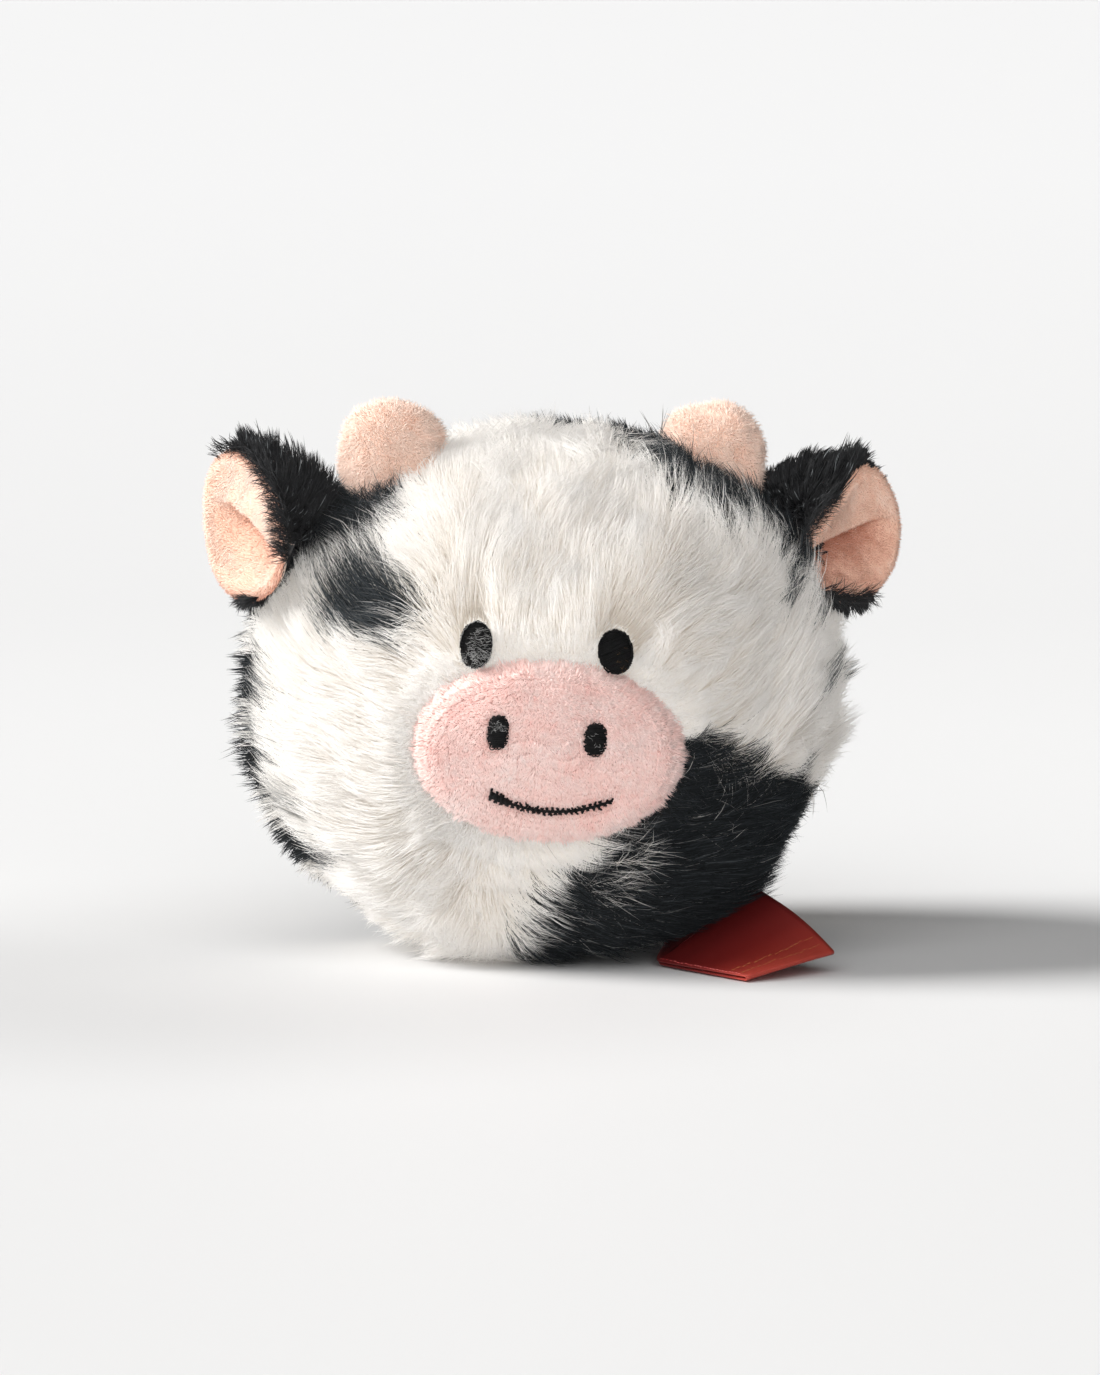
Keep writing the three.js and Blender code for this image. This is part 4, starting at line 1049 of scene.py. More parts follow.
# where along the hair the colour pattern is read: differs from lock to lock, so that the edges are tufted
where = np.clip(0.28 + 0.62 * (0.6 * big_jit[big_of[fine_of]] + 0.4 * rng.random(len(fine))[fine_of]), 0, 1) * 6
stray = rng.random(len(pts)) < 0.07
along = np.linspace(0, 1, pts.shape[1])[None, :, None]
pts = pts + rng.normal(size=(len(pts), 1, 3)) * (0.2 + 0.9 * stray)[:, None, None] * along ** 1.5
# a little curl
curl = rng.normal(size=(len(pts), 1, 3)) * (0.12 + 0.3 * stray)[:, None, None]
pts = pts + curl * np.sin(along * (3.5 + 4 * rng.random((len(pts), 1, 1))) + TAU * rng.random((len(pts), 1, 1))) * along
pts, whole = clear_of_eyes(pts, True)
pts = clear_of_ears(pts)
pts, root, where = pts[whole], root[whole], where[whole]
pts[:, :, 2] = np.maximum(pts[:, :, 2], 0.25)
w0 = np.minimum(where.astype(int), 5)
rows_ = np.arange(len(pts))
wf = (where - w0)[:, None]
seen = pts[rows_, w0] * (1 - wf) + pts[rows_, w0 + 1] * wf
shift_ = pts[:, 4] * 0.6 + pts[:, 5] * 0.4
# only at the edges of the patches; the dark rim at the left and the spot stay where they are
free_edge = (smooth(395, 430, to_screen(shift_)[0]))[:, None]
shade, black = front_shade(seen * free_edge + shift_ * (1 - free_edge), rng)
shade = np.where(shade > 0.6, shade + (0.10 * (big_jit[big_of[fine_of]] - 0.5) + 0.05 * (rng.random(len(fine))[fine_of] - 0.5))[whole], shade)
radius = 0.064 * (1 + 0.2 * rng.normal(size=len(pts))).clip(0.6, 1.5)
norm = head_normal(root)
order = np.arctan2(root[:, 2] - CENTRE[2], root[:, 0])
rank = np.argsort(order, kind="stable")
chunk = 12000
parts = [rank[i:i + chunk] for i in range(0, len(rank), chunk)]
for i, sel in enumerate(parts):
    ob = fur_piece("front_pile_%d" % (i + 1), pts[sel], radius[sel], norm[sel], shade[sel], fur_head, (0, 0.42, 0.76), (1, 0.95, 0.66))
    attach(ob, "root")
print("front hairs", len(pts), "pieces", len(parts))

rng = np.random.default_rng(151)
n = 11500
a_ = rng.random(n) * TAU
mzd = -1.9 + 3.6 * rng.random(n) ** 1.1
ex = np.sign(np.cos(a_)) * np.abs(np.cos(a_)) ** (2 / MUZZLE["power"])
ez = np.sign(np.sin(a_)) * np.abs(np.sin(a_)) ** (2 / MUZZLE["power"])
u_, v_ = (MUZZLE["a"] + mzd) * ex, (MUZZLE["c"] + mzd) * ez
rx = MUZZLE["x"] + u_ * math.cos(ROLL) - v_ * math.sin(ROLL)
rz = MUZZLE["z"] + u_ * math.sin(ROLL) + v_ * math.cos(ROLL)
root = np.stack([rx, front_y(rx, rz, SKIN), rz], -1)
out_ = unit(np.stack([ex / MUZZLE["a"], np.zeros(n), ez / MUZZLE["c"]], -1))
t0 = rng.normal(size=n) * 0.8


def collar_flow(p_, n_, turn_):
    d_ = out_ * np.cos(t0)[:, None] + np.cross(n_, out_) * np.sin(t0)[:, None]
    return unit(d_ - np.einsum("ij,ij->i", d_, n_)[:, None] * n_)


pts = grow(root, (4.6 + 0.45 * mzd) * (1 + 0.1 * rng.normal(size=n)), np.radians(4 + 5 * rng.random(n)),
           np.radians(50 + 14 * smooth(-1, 1.7, mzd) + 8 * rng.normal(size=n)), collar_flow, steps=6)
gi = np.arange(0, n, 14)
pts, _ = clump(pts, root, pts[gi], root[gi], np.clip(0.4 + 0.2 * rng.normal(size=n), 0, 0.9), 1.2)
pts = clear_of_eyes(pts)
shade, _ = front_shade(pts[:, 5], rng)
# painted light: the collar's white hairs are made lighter to lift the shade between the upright hairs beside the muzzle
shade = np.where(shade > 0.6, np.minimum(shade + 0.1, 0.99), shade)
ob = fur_piece("front_collar", pts, 0.075 * (1 + 0.2 * rng.normal(size=n)).clip(0.6, 1.5), head_normal(root), shade, fur_head, (0, 0.42, 0.76), (1, 0.95, 0.66))
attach(ob, "root")


def from_screen(px, py, depth=SKIN):
    """Point of the face side that shows at a place in the picture."""
    x, up = (px - 543) / PX, (963 - py) / PX - 3
    z = up.copy()
    for _ in range(12):
        y = front_y(x, z, depth)
        z = 0.5 * z + 0.5 * (up - y * math.sin(ELEV)) / math.cos(ELEV)
    return np.stack([x, front_y(x, z, depth), z], -1)


STRAYS = [((575, 884), (618, 838), 150, 6, 14, 30, 11.0), ((535, 912), (585, 872), 90, 6, 340, 30, 9.0), ((684, 736), (735, 762), 110, 5, 335, 38, 7.0),
          ((745, 762), (806, 786), 90, 4, 350, 22, 6.0), ((690, 800), (745, 850), 22, 16, 20, 50, 9.0), ((418, 612), (384, 560), 60, 5, 128, 16, 8.0),
          ((400, 505), (350, 545), 60, 5, 120, 24, 7.0), ((300, 560), (345, 556), 45, 4, 105, 28, 6.0), ((625, 452), (745, 512), 110, 5, 75, 20, 6.5),
          ((292, 566), (306, 604), 240, 4, 168, 22, 11.0),
          ((340, 580), (380, 630), 60, 14, 100, 90, 6.0)]
rng = np.random.default_rng(141)
roots, paths = [], []
for (x0, y0), (x1, y1), count, wide, ang, spread_, size in STRAYS:
    t = rng.random(count)
    r_ = from_screen(x0 + (x1 - x0) * t + rng.normal(size=count) * wide, y0 + (y1 - y0) * t + rng.normal(size=count) * wide)
    r_[:, 2] = np.maximum(r_[:, 2], 1.0)
    a_ = np.radians(ang + spread_ * rng.normal(size=count))
    bend_ = np.radians(45 * rng.normal(size=count))

    def stray_flow(p_, n_, turn_, a_=a_):
        d_ = np.cos(a_ + turn_)[:, None] * np.array([1.0, 0, 0]) + np.sin(a_ + turn_)[:, None] * SCREEN_UP
        return unit(d_ - np.einsum("ij,ij->i", d_, n_)[:, None] * n_)

    p_ = r_.copy()
    path = [p_]
    ln = size * (0.8 + 0.45 * rng.random(count))
    le0, le1 = np.radians(22 + 8 * rng.normal(size=count)), np.radians(80 + 8 * rng.normal(size=count))
    for k in range(6):
        n_ = head_normal(p_)
        t_ = stray_flow(p_, n_, bend_ * k / 6)
        a2 = le0 + (le1 - le0) * ((k + 0.3) / 6) ** 0.45
        p_ = p_ + (np.cos(a2)[:, None] * n_ + np.sin(a2)[:, None] * t_) * (ln / 6)[:, None]
        path.append(p_)
    paths.append(np.stack(path, 1))
    roots.append(r_)
pts = clear_of_ears(clear_of_eyes(np.concatenate(paths)))
root = np.concatenate(roots)
n = len(root)
ob = fur_piece("front_strays", pts, 0.052 * (1 + 0.2 * rng.normal(size=n)).clip(0.6, 1.5), head_normal(root),
               np.clip(0.66 + 0.13 * rng.normal(size=n), 0.45, 0.98), fur_head, (0, 0.25, 0.5, 0.75), (1, 1, 0.9, 0.6))
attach(ob, "root")
base = np.array([20.0, -1.6, 88.0])
n = 9
k = np.linspace(0, 1, 6)[None, :, None]
up_way = unit(np.array([0.1, 0, 1.0]) + rng.normal(size=(n, 3)) * np.array([0.34, 0.3, 0.1]))
pts = base + rng.normal(size=(n, 1, 3)) * 0.3 + up_way[:, None] * k * (5.5 + 1.5 * rng.random((n, 1, 1)))
pts = pts + np.array([0.9, 0, 0]) * (k ** 2) * rng.normal(size=(n, 1, 1))
ob = fur_piece("seam_fibres", pts, np.full(n, 0.07), np.tile([0.0, -1.0, 0.0], (n, 1)), np.full(n, 0.47), fur_head)
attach(ob, "root")

# ------------------------------------------------------------------ back pile
def back_hairs(count, seed, guides=False):
    d = random_dirs(count, seed)
    root = on_form(d, SKIN, floor=2.3)
    root = root[seam_side(root) > 0.2]
    n = len(root)
    r = np.random.default_rng(seed + 2)
    length = 8.5 * (1 + 0.12 * long_wave(root) + 0.08 * r.normal(size=n))
    under = smooth(9, 3, root[:, 2])
    length *= 1 - 0.45 * under
    rim = smooth(16, 4, seam_side(root)) * smooth(-30, -42, root[:, 0])
    length *= 1 + 0.12 * rim
    length *= 1 - 0.35 * smooth(30, 10, root[:, 2]) * smooth(-8, -26, root[:, 0])
    lean0 = np.radians(28 + 7 * r.normal(size=n)) + under * 0.6 - 0.25 * rim
    lean1 = np.radians(58 + 6 * r.normal(size=n) - 6 * lift_wave(root)) + under * 0.3 - 0.35 * rim
    turn = np.radians(14 * turn_wave(root) + (14 if guides else 6) * r.normal(size=n))
    return root, grow(root, length, lean0, lean1, back_flow, steps=4, turn=turn)


gb_root, gb = back_hairs(9000, 201, True)
root, pts = back_hairs(int(76000 * QUALITY), 221)
rng = np.random.default_rng(231)
pts, _ = clump(pts, root, gb, gb_root, np.clip(0.5 + 0.2 * rng.normal(size=len(pts)), 0, 0.9), 1.2)
pts = pts + rng.normal(size=(len(pts), 1, 3)) * 0.22 * (np.linspace(0, 1, pts.shape[1])[None, :, None] ** 1.5)
pts = clear_of_ears(pts)
pts[:, :, 2] = np.maximum(pts[:, :, 2], 0.25)
shade, _ = back_shade(pts[:, 2], rng)
radius = 0.115 * (1 + 0.2 * rng.normal(size=len(pts))).clip(0.6, 1.5)
norm = head_normal(root)
rank = np.argsort(np.arctan2(root[:, 2] - CENTRE[2], root[:, 0]), kind="stable")
parts = [rank[i:i + 12000] for i in range(0, len(rank), 12000)]
for i, sel in enumerate(parts):
    ob = fur_piece("back_pile_%d" % (i + 1), pts[sel], radius[sel], norm[sel], shade[sel], fur_head)
    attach(ob, "root")
print("back hairs", len(pts), "pieces", len(parts))

# ------------------------------------------------------------------ muzzle
def roll_xz(cx, cz, u, v):
    roll = OWN_ROLL.get((cx, cz), ROLL)
    return cx + u * math.cos(roll) - v * math.sin(roll), cz + u * math.sin(roll) + v * math.cos(roll)


mz_lump = Waves(51, 9.0)


MOUTH_X0, MOUTH_Z0, MOUTH_XM, MOUTH_ZM, MOUTH_X1, MOUTH_Z1 = -9.0, 32.4, 0.9, 29.4, 11.8, 31.2


def mouth_xz(t):
    zc = 2 * MOUTH_ZM - (MOUTH_Z0 + MOUTH_Z1) / 2
    return ((1 - t) ** 2 * MOUTH_X0 + 2 * t * (1 - t) * MOUTH_XM + t * t * MOUTH_X1,
            (1 - t) ** 2 * MOUTH_Z0 + 2 * t * (1 - t) * zc + t * t * MOUTH_Z1)


mouth_line = np.stack(mouth_xz(np.linspace(0, 1, 60)), -1)


def mouth_distance(x, z):
    return np.sqrt((x[..., None] - mouth_line[:, 0]) ** 2 + (z[..., None] - mouth_line[:, 1]) ** 2).min(-1)


def muzzle_dent(x, z):
    """The stitches draw the cloth in round the mouth and the nostrils."""
    d = 0.55 * np.exp(-(mouth_distance(x, z) / 1.5) ** 2)
    for cx, cz, a, c in NOSTRILS.values():
        g = inside_shape(x, z, (cx, cz, a, c, 2.6))
        d = d + 0.5 * np.exp(-((np.maximum(g - 0.8, 0)) / 0.7) ** 2)
    return d


def muzzle_point(rho, th, lift=0.0):
    """Patch surface without its pile: rho 0 centre to 1 edge."""
    p = MUZZLE["power"]
    ex = np.sign(np.cos(th)) * np.abs(np.cos(th)) ** (2 / p)
    ez = np.sign(np.sin(th)) * np.abs(np.sin(th)) ** (2 / p)
    a, c = MUZZLE["a"] - 1.2, MUZZLE["c"] - 0.9
    x, z = roll_xz(MUZZLE["x"], MUZZLE["z"], rho * a * ex, rho * c * ez)
    edge = 3.3 * (1 - np.sqrt(np.clip(1 - smooth(0.84, 1.0, rho) ** 1.6, 0, 1)))
    y = front_y(x, z, 1.1 + edge, HEAD_B + MUZZLE["bulge"]) - lift
    q = np.stack([x, y, z], -1)
    q[..., 1] -= 0.25 * mz_lump(q) * (1 - smooth(0.8, 1.0, rho))
    q[..., 1] += muzzle_dent(q[..., 0], q[..., 2])
    return q


th = np.arange(96) / 96 * TAU
rings = [muzzle_point(np.full(96, r), th) for r in [0.03, 0.1, 0.2, 0.3, 0.4, 0.5, 0.6, 0.7, 0.78, 0.84, 0.88, 0.91, 0.94, 0.965, 0.985, 1.0]]
low = rings[-1].copy()
low[:, 1] += 0.35
rings.append(low)
for r in (0.9, 0.6, 0.3, 0.05):
    q = muzzle_point(np.full(96, r), th)
    q[:, 1] = front_y(q[:, 0], q[:, 2], 3.3, HEAD_B + MUZZLE["bulge"]) + 0.2
    rings.append(q)
muzzle = rings_solid("muzzle_patch_cloth", rings, skin_pink)
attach(muzzle, "root")
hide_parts("muzzle_patch")


def surface_normals(fn, a, b, ea=1e-3, eb=1e-3):
    da = fn(a + ea, b) - fn(a - ea, b)
    db = fn(a, b + eb) - fn(a, b - eb)
    return unit(np.cross(da, db))


rng = np.random.default_rng(301)
n = int(72000 * QUALITY)
i = np.arange(n) + 0.5
rho = np.sqrt(i / n) * 1.0
th = i * math.pi * (3 - math.sqrt(5)) + rng.normal(size=n) * 0.01
rho = np.clip(rho + rng.normal(size=n) * 0.004, 0.005, 0.999)
root = muzzle_point(rho, th)
nrm = surface_normals(muzzle_point, rho, th, 2e-3, 2e-3)
nrm *= np.sign(-nrm[:, 1:2] + 1e-9)
dm = mouth_distance(root[:, 0], root[:, 2])
keep = dm > 0.45
for x, z, a, c in NOSTRILS.values():
    keep &= inside_shape(root[:, 0], root[:, 2], (x, z, a, c, 4), -0.1) > 1
root, nrm, rho, th, dm = root[keep], nrm[keep], rho[keep], th[keep], dm[keep]
n = len(root)
rim_w = smooth(0.86, 1.0, rho)
length = 1.0 * (1 + 0.16 * rng.normal(size=n)) * (0.65 + 0.35 * smooth(0.4, 1.5, dm)) * (1 + rim_w * (0.55 + 0.45 * Waves(55, 2.2)(root)))
mw1, mw2, mw3 = Waves(52, 6.0), Waves(53, 2.2), Waves(54, 13.0)
high = smooth(-2, 7, root[:, 2] - MUZZLE["z"])
away_x = np.tanh((root[:, 0] - MUZZLE["x"] + 3) / 7.0)
comb = unit(np.stack([0.4 * mw1(root) + 1.1 * high * away_x, np.full(n, -0.05), -0.9 + 0.25 * mw2(root) + 0.45 * high], -1))
lean = 0.85 + 0.15 * smooth(0.75, 1.0, rho)
out_dir = unit(np.stack([root[:, 0] - MUZZLE["x"], np.zeros(n), root[:, 2] - MUZZLE["z"]], -1))
bendv = unit(comb * (1 - smooth(0.8, 1.0, rho))[:, None] + out_dir * smooth(0.8, 1.0, rho)[:, None])
dirv = unit(nrm + bendv * lean[:, None] + rng.normal(size=(n, 3)) * (0.27 + 0.15 * rim_w)[:, None])
p1 = root + dirv * (length * 0.5)[:, None]
dir2 = unit(dirv + bendv * 0.35 + rng.normal(size=(n, 3)) * 0.15)
p2 = p1 + dir2 * (length * 0.5)[:, None]
pts = np.stack([root - nrm * 0.15, p1, p2], 1)
gi = np.arange(0, n, 24)
amount = np.clip(0.30 + 0.18 * rng.normal(size=n), 0, 0.8) * smooth(0.5, 1.2, dm)
tuft_tip = pts[gi].copy()
tuft_tip[:, 2] += nrm[gi] * (0.22 * rng.normal(size=len(gi)))[:, None]
pts, tuft = clump(pts, root, tuft_tip, root[gi], amount, 1.0)
# the pile keeps clear of the mouth and nostrils, above
tone = 0.54 + 0.07 * mw1(root) + 0.04 * mw2(root) + 0.11 * mw3(root) + 0.05 * rng.normal(size=n)
tone += 0.06 * rim_w + 0.07 * rng.normal(size=len(gi))[tuft]
radius = 0.097 * (1 + 0.2 * rng.normal(size=n)).clip(0.6, 1.5)
half = np.argsort(root[:, 0], kind="stable")
for i, sel in enumerate(np.array_split(half, 4)):
    ob = fur_piece("muzzle_pile_%d" % (i + 1), pts[sel], radius[sel], bendv[sel], tone[sel], pile_pink, levels=(0, 0.55), taper=(1, 0.85))
    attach(ob, "root")

# ------------------------------------------------------------------ embroidery
def stitch_height(x, z, depth):
    """Depth position of the head's surface at x, z."""
    return front_y(x, z, depth)


def face_point(x, z, depth, b=HEAD_B):
    return np.stack([x, front_y(x, z, depth, b), z], -1)


def pad(cx, cz, a, c, power, top, bottom, b, rings=7, seg=40, dome=0.35):
    th = np.arange(seg) / seg * TAU
    ex = np.sign(np.cos(th)) * np.abs(np.cos(th)) ** (2 / power)
    ez = np.sign(np.sin(th)) * np.abs(np.sin(th)) ** (2 / power)
    out = []
    for r in np.linspace(0.08, 1.0, rings):
        x, z = roll_xz(cx, cz, r * a * ex, r * c * ez)
        out.append(face_point(x, z, top + dome * r ** 3, b))
    x, z = roll_xz(cx, cz, a * ex, c * ez)
    out.append(face_point(x, z, bottom, b))
    x, z = roll_xz(cx, cz, 0.1 * a * ex, 0.1 * c * ez)
    out.append(face_point(x, z, bottom, b))
    v = np.concatenate(out + [out[0].mean(0)[None], out[-1].mean(0)[None]])
    q = grid_faces(len(out), seg)
    k = len(out) * seg
    t = [[k, (j + 1) % seg, j] for j in range(seg)] + [[k + 1, k - seg + j, k - seg + (j + 1) % seg] for j in range(seg)]
    return v, q, np.array(t)


def satin(cx, cz, a, c, power, depth, b, pitch, radius, seed, angle=0.0, ragged=0.12, arch=0.25, tilt=0.0):
    """Rows of thread laid across a shape."""
    r = np.random.default_rng(seed)
    parts = []
    v = -c
    while v < c:
        w = a * max(0.0, 1 - (abs(v) / c) ** power) ** (1 / power)
        if w > 0.25:
            e0, e1 = -w - ragged * r.random(), w + ragged * r.random()
            s = np.linspace(0, 1, 9)
            u = e0 + (e1 - e0) * s
            vv = v + tilt * (s - 0.5) + r.normal() * 0.03 + 0.03 * np.sin(s * 6 + r.random() * 6)
            uu = u * math.cos(angle) - vv * math.sin(angle)
            v2 = u * math.sin(angle) + vv * math.cos(angle)
            x, z = roll_xz(cx, cz, uu, v2)
            lift = arch * (1 - (2 * s - 1) ** 4)
            parts.append(tube_mesh(face_point(x, z, depth + 0.25 - lift + r.normal() * 0.03, b), radius * (1 + 0.1 * r.normal()), 6))
        v += pitch
    return parts


def rim_stitches(cx, cz, a, c, power, depth, b, count, size, radius, seed, grow_by=0.0):
    """Short stitches that lie along and across a shape's outline."""
    r = np.random.default_rng(seed)
    parts = []
    for i in range(count):
        t = (i + 0.5 * r.random()) / count * TAU
        t2 = t + size / max(a, c)
        pts = []
        for k, tt in enumerate(np.linspace(t, t2, 5)):
            ex = math.copysign(abs(math.cos(tt)) ** (2 / power), math.cos(tt))
            ez = math.copysign(abs(math.sin(tt)) ** (2 / power), math.sin(tt))
            g = 1 + grow_by + 0.03 * r.normal()
            x, z = roll_xz(cx, cz, a * g * ex, c * g * ez)
            pts.append(face_point(np.array(x), np.array(z), depth - 0.22 * math.sin(math.pi * k / 4), b))
        parts.append(tube_mesh(np.array(pts), radius, 6))
    return parts


def fuzz(cx, cz, a, c, depth, b, count, seed, length=1.1, radius=0.03, across=math.pi):
    r = np.random.default_rng(seed)
    parts = []
    for _ in range(count):
        rr, t = math.sqrt(r.random()) * 0.95, r.random() * TAU
        u, v = a * rr * math.cos(t), c * rr * math.sin(t)
        d = (r.random() * 2 - 1) * across
        s = np.linspace(0, 1, 5)
        bendy = (r.random() - 0.5) * 2.2
        du = np.cumsum(np.cos(d + bendy * s)) * length / 5
        dv = np.cumsum(np.sin(d + bendy * s)) * length / 5
        x, z = roll_xz(cx, cz, u + du, v + dv)
        parts.append(tube_mesh(face_point(x, z, depth - 0.15 * np.sin(s * math.pi) - 0.05, b), radius, 4))
    return parts


for side, (x, z, a, c) in EYES.items():
    parts = [pad(x, z, a - 0.1, c - 0.1, 2.1, -0.25, 0.6, HEAD_B)]
    parts += satin(x, z, a, c, 2.1, -0.45, HEAD_B, 0.24, 0.15, 401 if side == "left" else 402, angle=0.25, tilt=0.2)
    parts += rim_stitches(x, z, a, c, 2.1, -0.5, HEAD_B, 26, 1.6, 0.14, 411 if side == "left" else 412)
    v, q, t = merge(parts)
    ob = solid("eye_%s_satin" % side, v, [q, t], thread_black)
    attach(ob, "root")
    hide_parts("eye_%s" % side)
    # the stitches are a thin plate; the fabric drawn up under it is white, and shows only from the side
    v, q, t = pad(x, z, a - 0.3, c - 0.3, 2.1, 0.3, 4.6, HEAD_B, dome=0.1)
    ob = solid("eye_%s_bed" % side, v, [q, t], thread_white)
    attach(ob, "root")
    if side == "left":
        # pale fibres of the pile caught between the stitches, mostly lying across, and a few round the edge; the grey
        # strands lying across also stand for a painted sheen on the satin rows
        parts = fuzz(x, z, a * 0.85, c * 0.85, -0.78, HEAD_B, 120, 421, 1.1, 0.017, 0.3)
        parts += fuzz(x - 0.5, z - 2.3, a * 0.75, c * 0.42, -0.8, HEAD_B, 60, 423, 0.9, 0.024)
        parts += rim_stitches(x, z, a, c, 2.1, -0.75, HEAD_B, 22, 1.5, 0.03, 424, 0.05)
    else:
        parts = fuzz(x + 1.2, z - 1.0, a * 0.5, c * 0.6, -0.8, HEAD_B, 9, 422, 0.8, 0.018)
    v, q, t = merge(parts)
    ob = solid("eye_%s_fuzz" % side, v, [q, t], thread_grey if side == "left" else thread_dim)
    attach(ob, "root")

BM = HEAD_B + MUZZLE["bulge"]
for side, (x, z, a, c) in NOSTRILS.items():
    parts = [pad(x, z, a - 0.15, c - 0.1, 2.7, 0.15, 1.4, BM, dome=0.25)]
    parts += satin(x, z, a - 0.05, c, 2.4, -0.05, BM, 0.3, 0.17, 431 if side == "left" else 432, ragged=0.42, arch=0.35, tilt=0.2)
    r = np.random.default_rng(435 if side == "left" else 436)
    # small loops that stand past the outline
    for t_ in np.arange(17) / 17 * TAU + r.random(17) * 0.25:
        ex = math.copysign(abs(math.cos(t_)) ** (2 / 2.5), math.cos(t_))
        ez = math.copysign(abs(math.sin(t_)) ** (2 / 2.5), math.sin(t_))
        k_ = np.linspace(0, TAU, 9)
        rr_ = 0.26 + 0.1 * r.random()
        lx, lz = roll_xz(x, z, a * 0.93 * ex + rr_ * np.cos(k_), c * 0.95 * ez + rr_ * np.sin(k_))
        parts.append(tube_mesh(face_point(lx, lz, -0.02 - 0.1 * r.random(), BM), 0.1, 5))
    if side == "left":
        k_ = np.linspace(0, TAU, 13)
        lx, lz = roll_xz(x, z, -a * 0.55 + 0.42 * np.cos(k_), -c * 0.95 + 0.42 * np.sin(k_))
        parts.append(tube_mesh(face_point(lx, lz, -0.1 + 0 * k_, BM), 0.11, 5))
    v, q, t = merge(parts)
    ob = solid("nostril_%s_satin" % side, v, [q, t], thread_black)
    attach(ob, "root")
    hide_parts("nostril_%s" % side)
    parts = fuzz(x, z + (1.2 if side == "left" else 0), a * 0.8, c * (0.4 if side == "left" else 0.8), -0.4, BM, 34 if side == "left" else 10, 437, 0.8, 0.018)
    v, q, t = merge(parts)
    ob = solid("nostril_%s_fuzz" % side, v, [q, t], thread_grey)
    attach(ob, "root")

r = np.random.default_rng(441)
parts = []
count = 46
for i in range(count):
    t = (i + 0.5) / count
    x, z = mouth_xz(t)
    x2, z2 = mouth_xz(min(1, t + 0.01))
    tx, tz = x2 - x, z2 - z
    ln = math.hypot(tx, tz) or 1
    nx, nz = -tz / ln, tx / ln
    w = 1.0 - 2.0 * t if t < 0.12 else (0.62 - 0.12 * t + 0.13 * r.normal())
    sk = (0.40 + 0.08 * r.normal()) * (1 if i % 2 else -1)
    s = np.linspace(-1, 1, 7)
    px_ = x + nx * w * s + tx / ln * sk * s + r.normal() * 0.06
    pz_ = z + nz * w * s + tz / ln * sk * s + r.normal() * 0.08
    depth = 0.62 - 0.5 * (1 - s ** 4) + r.normal() * 0.06
    parts.append(tube_mesh(face_point(px_, pz_, depth, BM), 0.21 * (1 + 0.16 * r.normal()), 6))
core = []
for t in np.linspace(0, 1, 40):
    x, z = mouth_xz(t)
    core.append(face_point(np.array(x), np.array(z), 0.55, BM))
parts.append(tube_mesh(np.array(core), np.where(np.arange(40) < 7, 0.6, 0.25), 8))
v, q, t = merge(parts)
ob = solid("mouth_zigzag", v, [q, t], thread_black)
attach(ob, "root")
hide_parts("mouth_stitch")

